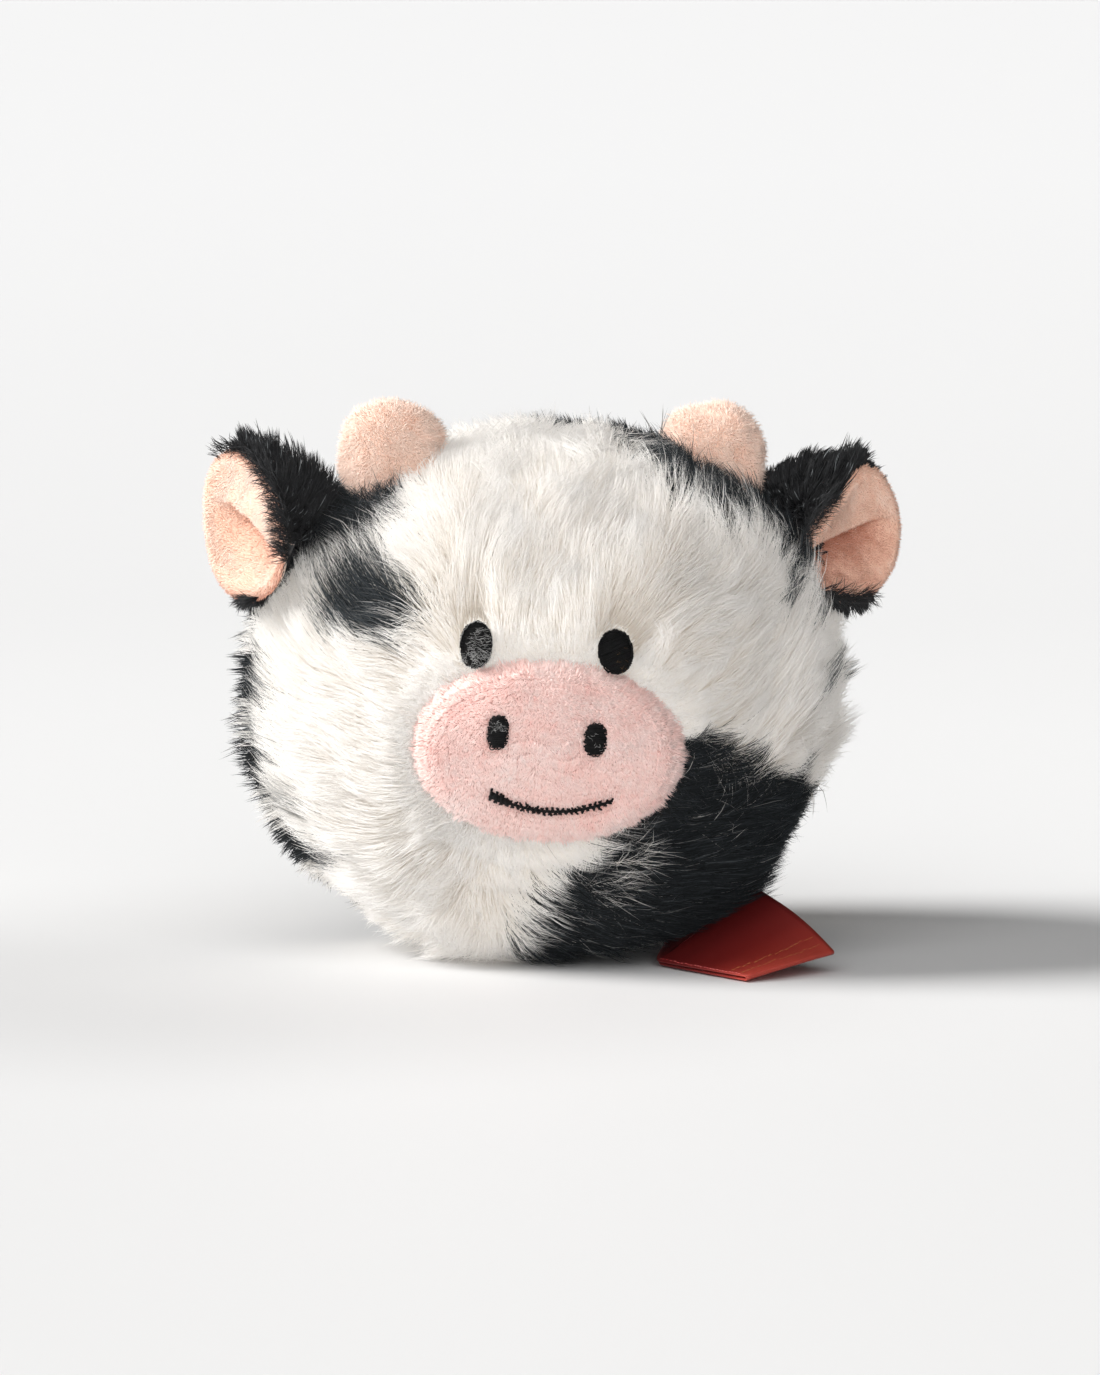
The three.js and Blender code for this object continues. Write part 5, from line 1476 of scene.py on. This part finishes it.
# ------------------------------------------------------------------ ears
for side_name, e in EARS.items():
    body = "ear_" + side_name
    n_, up_, side_ = ear_axes(e)
    M = 96
    th = np.arange(M) / M * TAU
    phi = np.arctan2(e["wide"] * np.sin(th), e["half"] * np.cos(th))
    rings = []
    for h in [-2.0, -1.4, -0.8, -0.3, 0.0, 0.1, 0.2, 0.32, 0.45, 0.58, 0.7, 0.82, 0.9, 0.96, 1.0]:
        rings.append(ear_wall_point(e, np.full(M, float(h)), th, 0.7))
    # over the rim, then down the inside, under the lining
    for rr, dr in [(0.93, 1.2), (0.86, 1.3), (0.7, 1.3), (0.5, 1.3), (0.3, 1.3), (0.1, 1.3)]:
        rings.append(ear_lining_point(e, np.full(M, rr), phi, 0.35, dr))
    ob = rings_solid("ear_%s_back_cloth" % side_name, rings, skin_black)
    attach(ob, body)
    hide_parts("ear_%s_back" % side_name)
    rings = [ear_lining_point(e, np.full(M, rr), phi) for rr in [0.02, 0.08, 0.16, 0.24, 0.32, 0.4, 0.48, 0.56, 0.64, 0.72, 0.79, 0.85, 0.9, 0.935, 0.96, 0.98, 0.993, 1.0]]
    rings += [ear_lining_point(e, np.full(M, rr), phi, 0.35, 0.7) for rr in [0.985, 0.93, 0.8, 0.65, 0.5, 0.35, 0.2, 0.08, 0.02]]
    ob = rings_solid("ear_%s_lining_cloth" % side_name, rings, skin_peach)
    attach(ob, body)
    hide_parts("ear_%s_lining" % side_name)

    # short pile of the lining
    rng = np.random.default_rng(501 if side_name == "left" else 502)
    n = int(19000 * QUALITY)
    i = np.arange(n) + 0.5
    rho = np.clip(np.sqrt(i / n) + rng.normal(size=n) * 0.004, 0.004, 1.0)
    t_ = i * math.pi * (3 - math.sqrt(5)) + rng.normal(size=n) * 0.01
    fn = lambda a, b: ear_lining_point(e, a, b)
    root = fn(rho, t_)
    nrm = surface_normals(fn, rho, t_, 2e-3, 4e-3)
    nrm *= np.sign((nrm @ n_))[:, None]
    out_dir = unit(root - np.array(e["rim"])[None])
    out_dir = unit(out_dir - n_[None] * (out_dir @ n_)[:, None])
    w1, w2 = Waves(511, 5.0), Waves(512, 1.8)
    comb = unit(side_[None] * 0.6 - up_[None] * (0.3 + 0.6 * w1(root))[:, None])
    edge = smooth(0.88, 1.0, rho)[:, None]
    bendv = unit(comb * (1 - edge) + out_dir * edge)
    length = 0.9 * (1 + 0.15 * rng.normal(size=n))
    d1 = unit(nrm + bendv * (0.9 + 0.1 * edge) + rng.normal(size=(n, 3)) * 0.2)
    p1 = root + d1 * (length * 0.5)[:, None]
    p2 = p1 + unit(d1 + bendv * 0.4 + rng.normal(size=(n, 3)) * 0.15) * (length * 0.5)[:, None]
    pts = np.stack([root - nrm * 0.12, p1, p2], 1)
    # painted shade: the lining's pile is darker just below the pleat's crease, the right ear's lining is set darker
    # than the left's, and the rim is darker, most on the left ear where the light falls
    (s0_, q0_), (s1_, q1_) = e["crease"]
    rr_ = ear_rim_radius(e, t_) * rho
    ps_, pq_ = rr_ * np.sin(t_), rr_ * np.cos(t_)
    cl_ = math.hypot(s1_ - s0_, q1_ - q0_)
    ctx, ctq = (s1_ - s0_) / cl_, (q1_ - q0_) / cl_
    tau_ = ((ps_ - s0_) * ctx + (pq_ - q0_) * ctq) / cl_
    below = -(ps_ - s0_) * ctq + (pq_ - q0_) * ctx
    crease_painted_shade = smooth(-0.5, 0.5, below) * np.exp(-np.maximum(below - 0.5, 0) / (6.0 if side_name == "right" else 4.5)) * smooth(-0.25, 0.1, tau_) * (1 - smooth(0.55, 1.1, tau_))
    tone = 0.55 + 0.06 * w1(root) + 0.04 * w2(root) + 0.05 * rng.normal(size=n) - (0.5 if side_name == "right" else 0.36) * crease_painted_shade - (0.08 if side_name == "right" else 0.3) * edge[:, 0]
    tone -= 0.22 if side_name == "right" else 0.13
    radius = 0.082 * (1 + 0.2 * rng.normal(size=n)).clip(0.6, 1.5)
    ob = fur_piece("ear_%s_lining_pile" % side_name, pts, radius, bendv, tone, pile_peach, levels=(0, 0.55), taper=(1, 0.85))
    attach(ob, body)

    # longer black pile of the back
    n = int(12000 * QUALITY)
    h = 0.02 + 0.97 * rng.random(n) ** 0.75
    t_ = rng.random(n) * TAU
    fn = lambda a, b: ear_wall_point(e, a, b, 0.7)
    root = fn(h, t_)
    nrm = surface_normals(fn, h, t_, 2e-3, 4e-3)
    mid = fn(h, t_ + math.pi)
    nrm *= np.sign(np.einsum("ij,ij->i", nrm, root - mid))[:, None]
    to_rim = unit(fn(h + 0.01, t_) - fn(h - 0.01, t_))
    top = 0.5 - 0.5 * np.cos(t_)                              # 1 at the top edge, 0 at the bottom
    outer = 0.5 + 0.5 * np.sin(t_)                            # 1 on the far wall
    free = smooth(0.6, 0.97, top) * smooth(0.8, 0.4, outer)
    length = 2.7 + (4.6 if side_name == "left" else 2.4) * smooth(0.6, 1.0, top)
    if side_name == "right":
        length *= 1 - 0.35 * smooth(0.7, 0.95, top) * smooth(0.75, 0.4, h)
    # kept behind the rim wherever the lining makes the outline
    room = np.linalg.norm(fn(np.ones(n), t_) - root, axis=1) * 0.8 + 0.35
    low = smooth(0.55, 0.95, 1 - top) * smooth(0.35, 0.75, h) * smooth(0.9, 0.5, outer)
    if side_name == "left":
        low = low * 0
    length = np.minimum(length, room + 4.5 * free + 3.2 * low)
    if side_name == "left":
        # nothing long where the head's white pile covers the ear's lower inner side
        length *= 1 - 0.6 * smooth(0.45, 0.15, top) * smooth(0.5, 0.2, outer)
    length *= (1 + 0.16 * rng.normal(size=n)) * (1 + 0.15 * Waves(521, 5.0)(root))
    length = np.maximum(length, 0.35)
    lean = np.radians(38 + 10 * rng.normal(size=n) + 26 * (1 - free) * smooth(0.5, 0.9, h))
    sweep = to_rim * (0.9 - 0.65 * top)[:, None] + up_[None] * (0.1 + 0.7 * free - 0.3 * low)[:, None]
    tang = unit(sweep - nrm * np.einsum("ij,ij->i", sweep, nrm)[:, None])
    p = root - nrm * 0.15
    path = [p]
    for k in range(4):
        a = lean + math.radians(5 * k)
        tuft = rng.normal(size=(n, 3)) * 0.06
        p = p + (np.cos(a)[:, None] * nrm + np.sin(a)[:, None] * tang + tuft) * (length / 4)[:, None]
        path.append(p)
    pts = np.stack(path, 1)
    gi = np.arange(0, n, 22)
    pts, _ = clump(pts, root, pts[gi], root[gi], np.clip(0.58 + 0.2 * rng.normal(size=n), 0, 0.92), 1.1)
    radius = 0.10 * (1 + 0.2 * rng.normal(size=n)).clip(0.6, 1.5)
    # painted glints: about 3% of the black hairs take the palette's light top stop
    shade = np.where(rng.random(n) < 0.03, 0.99, np.clip(0.5 + 0.2 * rng.normal(size=n), 0.01, 0.9))
    # hairs that hang over the lining's edge: places in the picture, count, direction, length
    extra = {"left": [((262, 294, 470, 562, "rim"), 560, 158, 30, 4.6), ((222, 272, 440, 476, "rim"), 220, 160, 25, 2.6), ((232, 262, 598, 618), 260, 212, 20, 3.4)],
             "right": [((795, 840, 498, 575, "rim"), 420, 35, 30, 3.0), ((838, 858, 440, 470), 240, 78, 20, 4.6), ((806, 866, 590, 612), 520, 335, 30, 4.2)]}[side_name]
    more = []
    for (x0, x1, y0, y1, *at_rim), count, ang, spread_, size in extra:
        tt_, hh_ = rng.random(12000) * TAU, 0.66 + 0.3 * rng.random(12000)
        q_ = ear_lining_point(e, np.full(12000, 0.985), tt_) if at_rim else fn(hh_, tt_)
        qx, qy = to_screen(q_)
        ok = np.flatnonzero((qx > x0) & (qx < x1) & (qy > y0) & (qy < y1))[:count]
        q_ = q_[ok]
        m_ = len(ok)
        if at_rim:
            # from just outside the rim, over it
            out_way = unit(q_ - np.array(e["rim"])[None]) if m_ else q_
            q_ = q_ + out_way * (2.0 * rng.random(m_))[:, None] + VIEW[None] * (0.7 + 0.5 * rng.random(m_))[:, None]
        else:
            q_ = q_ + VIEW[None] * 0.9
        if not m_:
            print("no place for ear hairs", side_name, (x0, x1, y0, y1))
            continue
        aa = np.radians(ang + spread_ * rng.normal(size=m_))
        bend_ = np.radians(35 * rng.normal(size=m_))
        ln = size * (0.7 + 0.5 * rng.random(m_))
        path = [q_]
        for k in range(4):
            ak = aa + bend_ * k / 4
            d_ = np.cos(ak)[:, None] * np.array([1.0, 0, 0]) + np.sin(ak)[:, None] * SCREEN_UP + VIEW[None] * (1.3, 0.7, 0.1, -0.15)[k]
            q_ = q_ + unit(d_) * (ln / 4)[:, None]
            path.append(q_)
        more.append(np.stack(path, 1))
    if more:
        more = np.concatenate(more)
        m_ = len(more)
        pts = np.concatenate([pts[:12000 - m_], more])
        radius = np.concatenate([radius[:12000 - m_], 0.06 * (1 + 0.2 * rng.normal(size=m_)).clip(0.6, 1.5)])
        nrm = np.concatenate([nrm[:12000 - m_], np.tile(n_, (m_, 1))])
        shade = np.concatenate([shade[:12000 - m_], np.clip(0.55 + 0.25 * rng.normal(size=m_), 0.01, 0.93)])
    ob = fur_piece("ear_%s_back_pile" % side_name, pts, radius, nrm, shade, fur_black)
    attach(ob, body)

# ------------------------------------------------------------------ horns
HORNS = {
    "left": dict(base=(-25.493, -11.608, 83.905), dir=(-0.16, -0.10, 1.0), n=(-0.4269, -0.1817, 0.8859), scale=1.0),
    "right": dict(base=(29.0, 0.334, 82.1), dir=(0.06, -0.05, 1.0), n=(0.4943, 0.0026, 0.8693), scale=1.0),
}
HORN_PROFILE = np.array([(0, 13.6), (3.7, 12.9), (6.7, 11.0), (8.7, 8.0), (9.4, 4.8), (9.0, 1.9), (8.1, -0.4), (7.2, -2.2), (6.6, -5.6)])


def horn_frame(hn):
    w = unit(np.array(hn["dir"]))
    z = np.array([0, 0, 1.0])
    ax = np.cross(z, w)
    s = np.linalg.norm(ax)
    ang = math.atan2(s, w[2])
    ax = ax / s
    K = np.array([[0, -ax[2], ax[1]], [ax[2], 0, -ax[0]], [-ax[1], ax[0], 0]])
    return np.eye(3) + math.sin(ang) * K + (1 - math.cos(ang)) * K @ K


def horn_point(hn, s, th, inset=1.1, seed=600):
    """s from 0 at the top to 1 at the foot."""
    R = horn_frame(hn)
    k = np.clip(s, 0, 1) * (len(HORN_PROFILE) - 1)
    # smooth profile by Catmull-Rom
    i1 = np.minimum(k.astype(int), len(HORN_PROFILE) - 2)
    f = (k - i1)[:, None]
    P = HORN_PROFILE
    g = lambda j: P[np.clip(j, 0, len(P) - 1)] * np.where((j < 0)[:, None], np.array([[-1, 1]]), 1)
    p0, p1, p2, p3 = g(i1 - 1), g(i1), g(i1 + 1), g(i1 + 2)
    p0 = np.where((i1 == 0)[:, None], P[1] * np.array([-1, 1]), p0)
    q = 0.5 * (2 * p1 + (p2 - p0) * f + (2 * p0 - 5 * p1 + 4 * p2 - p3) * f ** 2 + (3 * p1 - p0 - 3 * p2 + p3) * f ** 3)
    dq = 0.5 * ((p2 - p0) + 2 * (2 * p0 - 5 * p1 + 4 * p2 - p3) * f + 3 * (3 * p1 - p0 - 3 * p2 + p3) * f ** 2)
    t = unit(dq)
    q = q + inset * np.stack([t[:, 1], -t[:, 0]], -1)
    r, z = np.maximum(q[:, 0], 0), q[:, 1]
    x, y = r * np.sin(th), r * np.cos(th)
    nl = np.array(hn["n"]) @ R
    kk = np.clip(1 - (z + 2) / 12, 0, 1)
    tt = kk * kk * (3 - 2 * kk)
    z = z - tt * (nl[0] * x + nl[1] * y) / nl[2] - 1.1
    local = np.stack([x, y, z], -1) * hn["scale"]
    p = local @ R.T + np.array(hn["base"])
    lump = Waves(seed, 10.0)
    axis = p - (np.array(hn["base"]) + unit(np.array(hn["dir"])) * 6)
    return p + unit(axis) * (0.35 * lump(p))[:, None]


for side_name, hn in HORNS.items():
    body = "horn_" + side_name
    seed = 601 if side_name == "left" else 602
    M = 64
    th = np.arange(M) / M * TAU
    rings = [horn_point(hn, np.full(M, s), th, 1.0, seed) for s in np.concatenate([[0.015, 0.05], np.linspace(0.1, 1.0, 26)])]
    rings += [horn_point(hn, np.full(M, s), th, 1.7, seed) for s in np.linspace(1.0, 0.1, 14)]
    rings.append(horn_point(hn, np.full(M, 0.03), th, 1.7, seed))
    ob = rings_solid("horn_%s_cloth" % side_name, rings, skin_peach)
    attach(ob, body)
    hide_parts("horn_%s_cover" % side_name)
    rng = np.random.default_rng(seed + 10)
    n = int(38000 * QUALITY)
    # even cover over the profile's length: more hairs where it is wide
    s = rng.random(n * 3)
    rad = np.interp(s * 8, np.arange(9), HORN_PROFILE[:, 0])
    keep = rng.random(n * 3) < (rad + 0.6) / 10.0
    s = s[keep][:n] * 0.94 + 0.004
    n = len(s)
    t_ = rng.random(n) * TAU
    fn = lambda a, b: horn_point(hn, a, b, 1.0, seed)
    root = fn(s, t_)
    nrm = surface_normals(fn, s, t_, 2e-3, 4e-3)
    centre = np.array(hn["base"]) + unit(np.array(hn["dir"])) * 5
    nrm *= np.sign(np.einsum("ij,ij->i", nrm, root - centre))[:, None]
    w1, w2 = Waves(621, 5.0), Waves(622, 1.8)
    tang = unit(np.stack([w1(root), w2(root), -1 + 0 * w1(root)], -1))
    wild = rng.random(n) < 0.16
    length = 0.8 * (1 + 0.2 * rng.normal(size=n)) * np.where(wild, 1.7, 1.0)
    d1 = unit(nrm + tang * np.where(wild, 0.1, 0.75)[:, None] + rng.normal(size=(n, 3)) * 0.25)
    p1 = root + d1 * (length * 0.5)[:, None]
    p2 = p1 + unit(d1 + tang * 0.25 + rng.normal(size=(n, 3)) * 0.2) * (length * 0.5)[:, None]
    pts = np.stack([root - nrm * 0.15, p1, p2], 1)
    tone = 0.55 + 0.06 * w1(root) + 0.04 * w2(root) + 0.06 * rng.normal(size=n) + 0.12 * wild
    radius = 0.1 * (1 + 0.2 * rng.normal(size=n)).clip(0.6, 1.5) * np.where(wild, 0.7, 1.0)
    by_side = np.argsort(root[:, 0], kind="stable")
    for i, sel in enumerate(np.array_split(by_side, 2)):
        ob = fur_piece("horn_%s_pile_%d" % (side_name, i + 1), pts[sel], radius[sel], tang[sel], tone[sel], pile_peach, levels=(0, 0.55), taper=(1, 0.85))
        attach(ob, body)

# ------------------------------------------------------------------ label
ROOT_LO, ROOT_HI = np.array([21.5, -5.2, 1.3]), np.array([35.6, -0.4, 10.6])
BEND_LO, BEND_HI = np.array([19.3, -27.0, 0.75]), np.array([36.3, -17.0, 12.0])
END_LO, END_HI = np.array([34.3, -46.0, 0.75]), np.array([49.4, -33.6, 3.5])

satin_red, nt, out = nodes_of("satin_red")
uv = nt.nodes.new("ShaderNodeUVMap")
uv.uv_map = "OFBake"
mp = nt.nodes.new("ShaderNodeMapping")
mp.inputs["Scale"].default_value = (420, 160, 1)
nt.links.new(uv.outputs[0], mp.inputs[0])
wv = nt.nodes.new("ShaderNodeTexWave")
wv.bands_direction = "X"
wv.inputs["Scale"].default_value = 0.35
wv.inputs["Distortion"].default_value = 0.6
nt.links.new(mp.outputs[0], wv.inputs["Vector"])
nz = nt.nodes.new("ShaderNodeTexNoise")
nz.inputs["Scale"].default_value = 1.0
nz.inputs["Detail"].default_value = 3
nt.links.new(mp.outputs[0], nz.inputs["Vector"])
sp = nt.nodes.new("ShaderNodeSeparateXYZ")
nt.links.new(uv.outputs[0], sp.inputs[0])
# painted light and shade: the ramp runs from dark red at the seam, under the ball's shadow, to bright orange-red at the
# lit folded end
painted_light_along_label = ramp(nt, [(0.0, (0.10, 0.006, 0.007)), (0.58, (0.115, 0.008, 0.008)), (0.75, (0.19, 0.014, 0.012)), (0.88, (0.32, 0.03, 0.022)), (1.0, (0.48, 0.06, 0.04))])
nt.links.new(sp.outputs[1], painted_light_along_label.inputs[0])
nr = ramp(nt, [(0.3, 0.72), (0.7, 1.0)])
nt.links.new(nz.outputs["Fac"], nr.inputs[0])
col = mix_colour(nt, painted_light_along_label.outputs[0], nr.outputs[0], 1.0)
bp = nt.nodes.new("ShaderNodeBump")
bp.inputs["Strength"].default_value = 0.35
bp.inputs["Distance"].default_value = 0.00008
nt.links.new(wv.outputs["Fac"], bp.inputs["Height"])
pb = nt.nodes.new("ShaderNodeBsdfPrincipled")
nt.links.new(col, pb.inputs["Base Color"])
nt.links.new(bp.outputs[0], pb.inputs["Normal"])
pb.inputs["Roughness"].default_value = 0.42
pb.inputs["Specular IOR Level"].default_value = 0.28
nt.links.new(pb.outputs[0], out.inputs[0])


def ribbon_point(s, t):
    """s across the ribbon 0..1, t along it: 0 in the seam, 1 at the folded end."""
    s, t = np.asarray(s, float), np.asarray(t, float)
    cut = 0.5
    a = np.clip(t / cut, 0, 1)[..., None]
    b = np.clip((t - cut) / (1 - cut), 0, 1)[..., None]
    lo = ROOT_LO * (1 - a) + BEND_LO * a + (END_LO - BEND_LO) * b
    hi = ROOT_HI * (1 - a) + BEND_HI * a + (END_HI - BEND_HI) * b
    # round the bend
    k = np.exp(-((t - cut) / 0.07) ** 2)[..., None]
    mid = (ROOT_LO + END_LO) / 2 * 0.06 + BEND_LO * 0.94
    mid_h = (ROOT_HI + END_HI) / 2 * 0.06 + BEND_HI * 0.94
    lo = lo * (1 - k) + mid * k
    hi = hi * (1 - k) + mid_h * k
    p = lo * (1 - s[..., None]) + hi * s[..., None]
    # the upper edge is bowed
    p += np.array([0.35, 0, 0.9]) * (s ** 3 * np.sin(math.pi * np.clip((t - cut) / (1 - cut), 0, 1)))[..., None]
    # a little hollow between the corners of the free end, and a soft belly
    free = np.clip((t - cut) / (1 - cut), 0, 1)
    p[..., 2] += 0.9 * np.sin(math.pi * s) * (free ** 1.5) * 0.6 - 1.3 * np.sin(math.pi * s) * smooth(0.15, 0.8, free) * (1 - free) * 0.5
    p[..., 2] = np.maximum(p[..., 2], 0.55)
    # convex end
    p += (unit((END_LO + END_HI) / 2 - (BEND_LO + BEND_HI) / 2) * 0.9) * (np.sin(math.pi * s) * free ** 3)[..., None]
    return p


def ribbon(rows=40, cols=22, thick=0.2, gap=0.34):
    """One ribbon folded in two: out along the lower layer, round the fold, back along the upper one."""
    S, T = np.meshgrid(np.linspace(0, 1, cols), np.linspace(0, 1, rows))
    base = ribbon_point(S, T)
    ds = ribbon_point(np.clip(S + 0.01, 0, 1), T) - ribbon_point(np.clip(S - 0.01, 0, 1), T)
    dt = ribbon_point(S, np.clip(T + 0.01, 0, 1)) - ribbon_point(S, np.clip(T - 0.01, 0, 1))
    nn = unit(np.cross(dt, ds))
    nn *= np.sign(nn[..., 2:3] + 1e-9)
    layers = []
    fold = np.array([base[-1] + unit(dt[-1]) * (gap * math.sin(a)) + nn[-1] * (gap * -math.cos(a)) for a in np.linspace(0.3, math.pi - 0.3, 6)])
    lower = base - nn * gap
    upper = base + nn * gap
    mid = np.concatenate([lower, fold, upper[::-1]])                   # rows along the whole ribbon
    # thickness both ways
    d1 = np.gradient(mid, axis=0)
    d2 = np.gradient(mid, axis=1)
    nm = unit(np.cross(d1, d2))
    top, bot = mid + nm * thick / 2, mid - nm * thick / 2
    R, C = mid.shape[:2]
    verts = np.concatenate([top.reshape(-1, 3), bot.reshape(-1, 3)])
    q1 = grid_faces(R, C, wrap=False)
    q2 = grid_faces(R, C, wrap=False, offset=R * C, flip=True)
    edge = [r * C for r in range(R)]
    edges = []
    for r_ in range(R - 1):
        edges.append([r_ * C, (r_ + 1) * C, R * C + (r_ + 1) * C, R * C + r_ * C])
        edges.append([r_ * C + C - 1, R * C + r_ * C + C - 1, R * C + (r_ + 1) * C + C - 1, (r_ + 1) * C + C - 1])
    for c_ in range(C - 1):
        edges.append([c_, R * C + c_, R * C + c_ + 1, c_ + 1])
        o = (R - 1) * C
        edges.append([o + c_, o + c_ + 1, R * C + o + c_ + 1, R * C + o + c_])
    seg = np.linalg.norm(np.diff(mid.mean(1), axis=0), axis=1)
    run = np.concatenate([[0], np.cumsum(seg)])
    tt = np.minimum(run, run[-1] - run) / (run[-1] / 2)
    U, Vv = np.meshgrid(np.linspace(0.02, 0.98, C), np.clip(tt, 0.02, 0.98))
    uvs = np.stack([U, Vv], -1).reshape(-1, 2)
    return verts, [q1, q2, np.array(edges)], np.concatenate([uvs, uvs]), run[-1]


verts, faces, uvs, ribbon_length = ribbon()
label = solid("label_folded_ribbon", verts, faces, satin_red, uv=uvs)
label_width = float(np.linalg.norm(END_HI - END_LO))
print("ribbon length mm", ribbon_length, "width", label_width)
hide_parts("label_tail", "label_ribbon")
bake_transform(label)

# two fine lines of stitches across the ribbon near its fold, and small ones along its lower edge
parts = []
r = np.random.default_rng(701)
for row, fat in ((0.9, 0.07), (0.955, 0.06)):
    ss = np.linspace(0.05, 0.95, 17)
    for i in range(len(ss) - 1):
        s = np.linspace(ss[i], ss[i] + (ss[i + 1] - ss[i]) * (0.66 + 0.12 * r.random()), 6)
        p = ribbon_point(s, np.full(6, row + 0.004 * r.normal()))
        p[:, 2] += 0.43 + 0.06 * np.sin(np.linspace(0, math.pi, 6))
        parts.append(tube_mesh(p, fat, 6))
v, q, t = merge(parts)
hem = solid("label_hem_stitches", v, [q, t], thread_gold)
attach(hem, "label")
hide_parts("label_hem_thread")
parts = []
tt = np.linspace(0.53, 0.97, 26)
for i in range(len(tt) - 1):
    t = np.linspace(tt[i], tt[i] + (tt[i + 1] - tt[i]) * 0.55, 5)
    p = ribbon_point(np.full(5, 0.015 + 0.01 * r.random()), t)
    p[:, 2] += 0.42
    parts.append(tube_mesh(p, 0.11, 6))
v, q, t = merge(parts)
edge_stitch = solid("label_edge_stitches", v, [q, t], thread_rose)
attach(edge_stitch, "label")

# ------------------------------------------------------------------ what is inside
def assign(node, material):
    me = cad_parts[node].data
    me.materials.clear()
    me.materials.append(material)


def lumpy(node, name, body, voxel, amount, size, seed, sink=0.0):
    """Fibre filling: the node's shape, its skin broken into soft lumps that only pull inwards."""
    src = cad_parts[node]
    me = src.data.copy()
    ob = bpy.data.objects.new(name, me)
    ob.matrix_world = src.matrix_world
    bpy.context.scene.collection.objects.link(ob)
    m = ob.modifiers.new("remesh", "REMESH")
    m.mode = "VOXEL"
    m.voxel_size = voxel * MM
    dg = bpy.context.evaluated_depsgraph_get()
    new = bpy.data.meshes.new_from_object(ob.evaluated_get(dg))
    ob.modifiers.clear()
    ob.data = new
    new.name = name
    co = np.empty(len(new.vertices) * 3)
    no = np.empty(len(new.vertices) * 3)
    new.vertices.foreach_get("co", co)
    new.vertex_normals.foreach_get("vector", no)
    co, no = co.reshape(-1, 3), no.reshape(-1, 3)
    w = Waves(seed, size)(co / MM) * 0.6 + Waves(seed + 1, size / 3)(co / MM) * 0.4
    co = co - no * ((np.clip(0.55 + 0.5 * w, 0, 1.2) * amount)[:, None] * MM)
    if sink:
        low = co[:, 2].min()
        co[:, 2] = low + (co[:, 2] - low) * (1 - sink)
    new.vertices.foreach_set("co", co.ravel())
    new.polygons.foreach_set("use_smooth", np.ones(len(new.polygons), bool))
    new.materials.clear()
    new.materials.append(fibre)
    new.update()
    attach(ob, body)
    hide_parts(node)
    return ob


lumpy("stuffing_front", "filling_front", "root", 1.6, 0.9, 9.0, 801)
lumpy("stuffing_rear", "filling_rear", "root", 1.6, 0.9, 9.0, 811)
lumpy("horn_left_filling", "filling_horn_left", "horn_left", 0.8, 0.5, 4.0, 821, 0.2)
lumpy("horn_right_filling", "filling_horn_right", "horn_right", 0.8, 0.5, 4.0, 831, 0.2)
assign("seam_thread", thread_white)
assign("closing_stitch", thread_white)
assign("muzzle_stitch", thread_pink)
squeaker = plastic_material("squeaker_plastic", (0.78, 0.79, 0.78), (0.86, 0.86, 0.84), 0.42)
assign("squeaker_bulb", squeaker)
assign("squeaker_plug", plastic_material("plug_plastic", (0.62, 0.66, 0.70), (0.70, 0.73, 0.76), 0.35))
assign("squeaker_reed", plastic_material("reed_film", (0.88, 0.88, 0.86), (0.93, 0.93, 0.92), 0.25, 0.5))
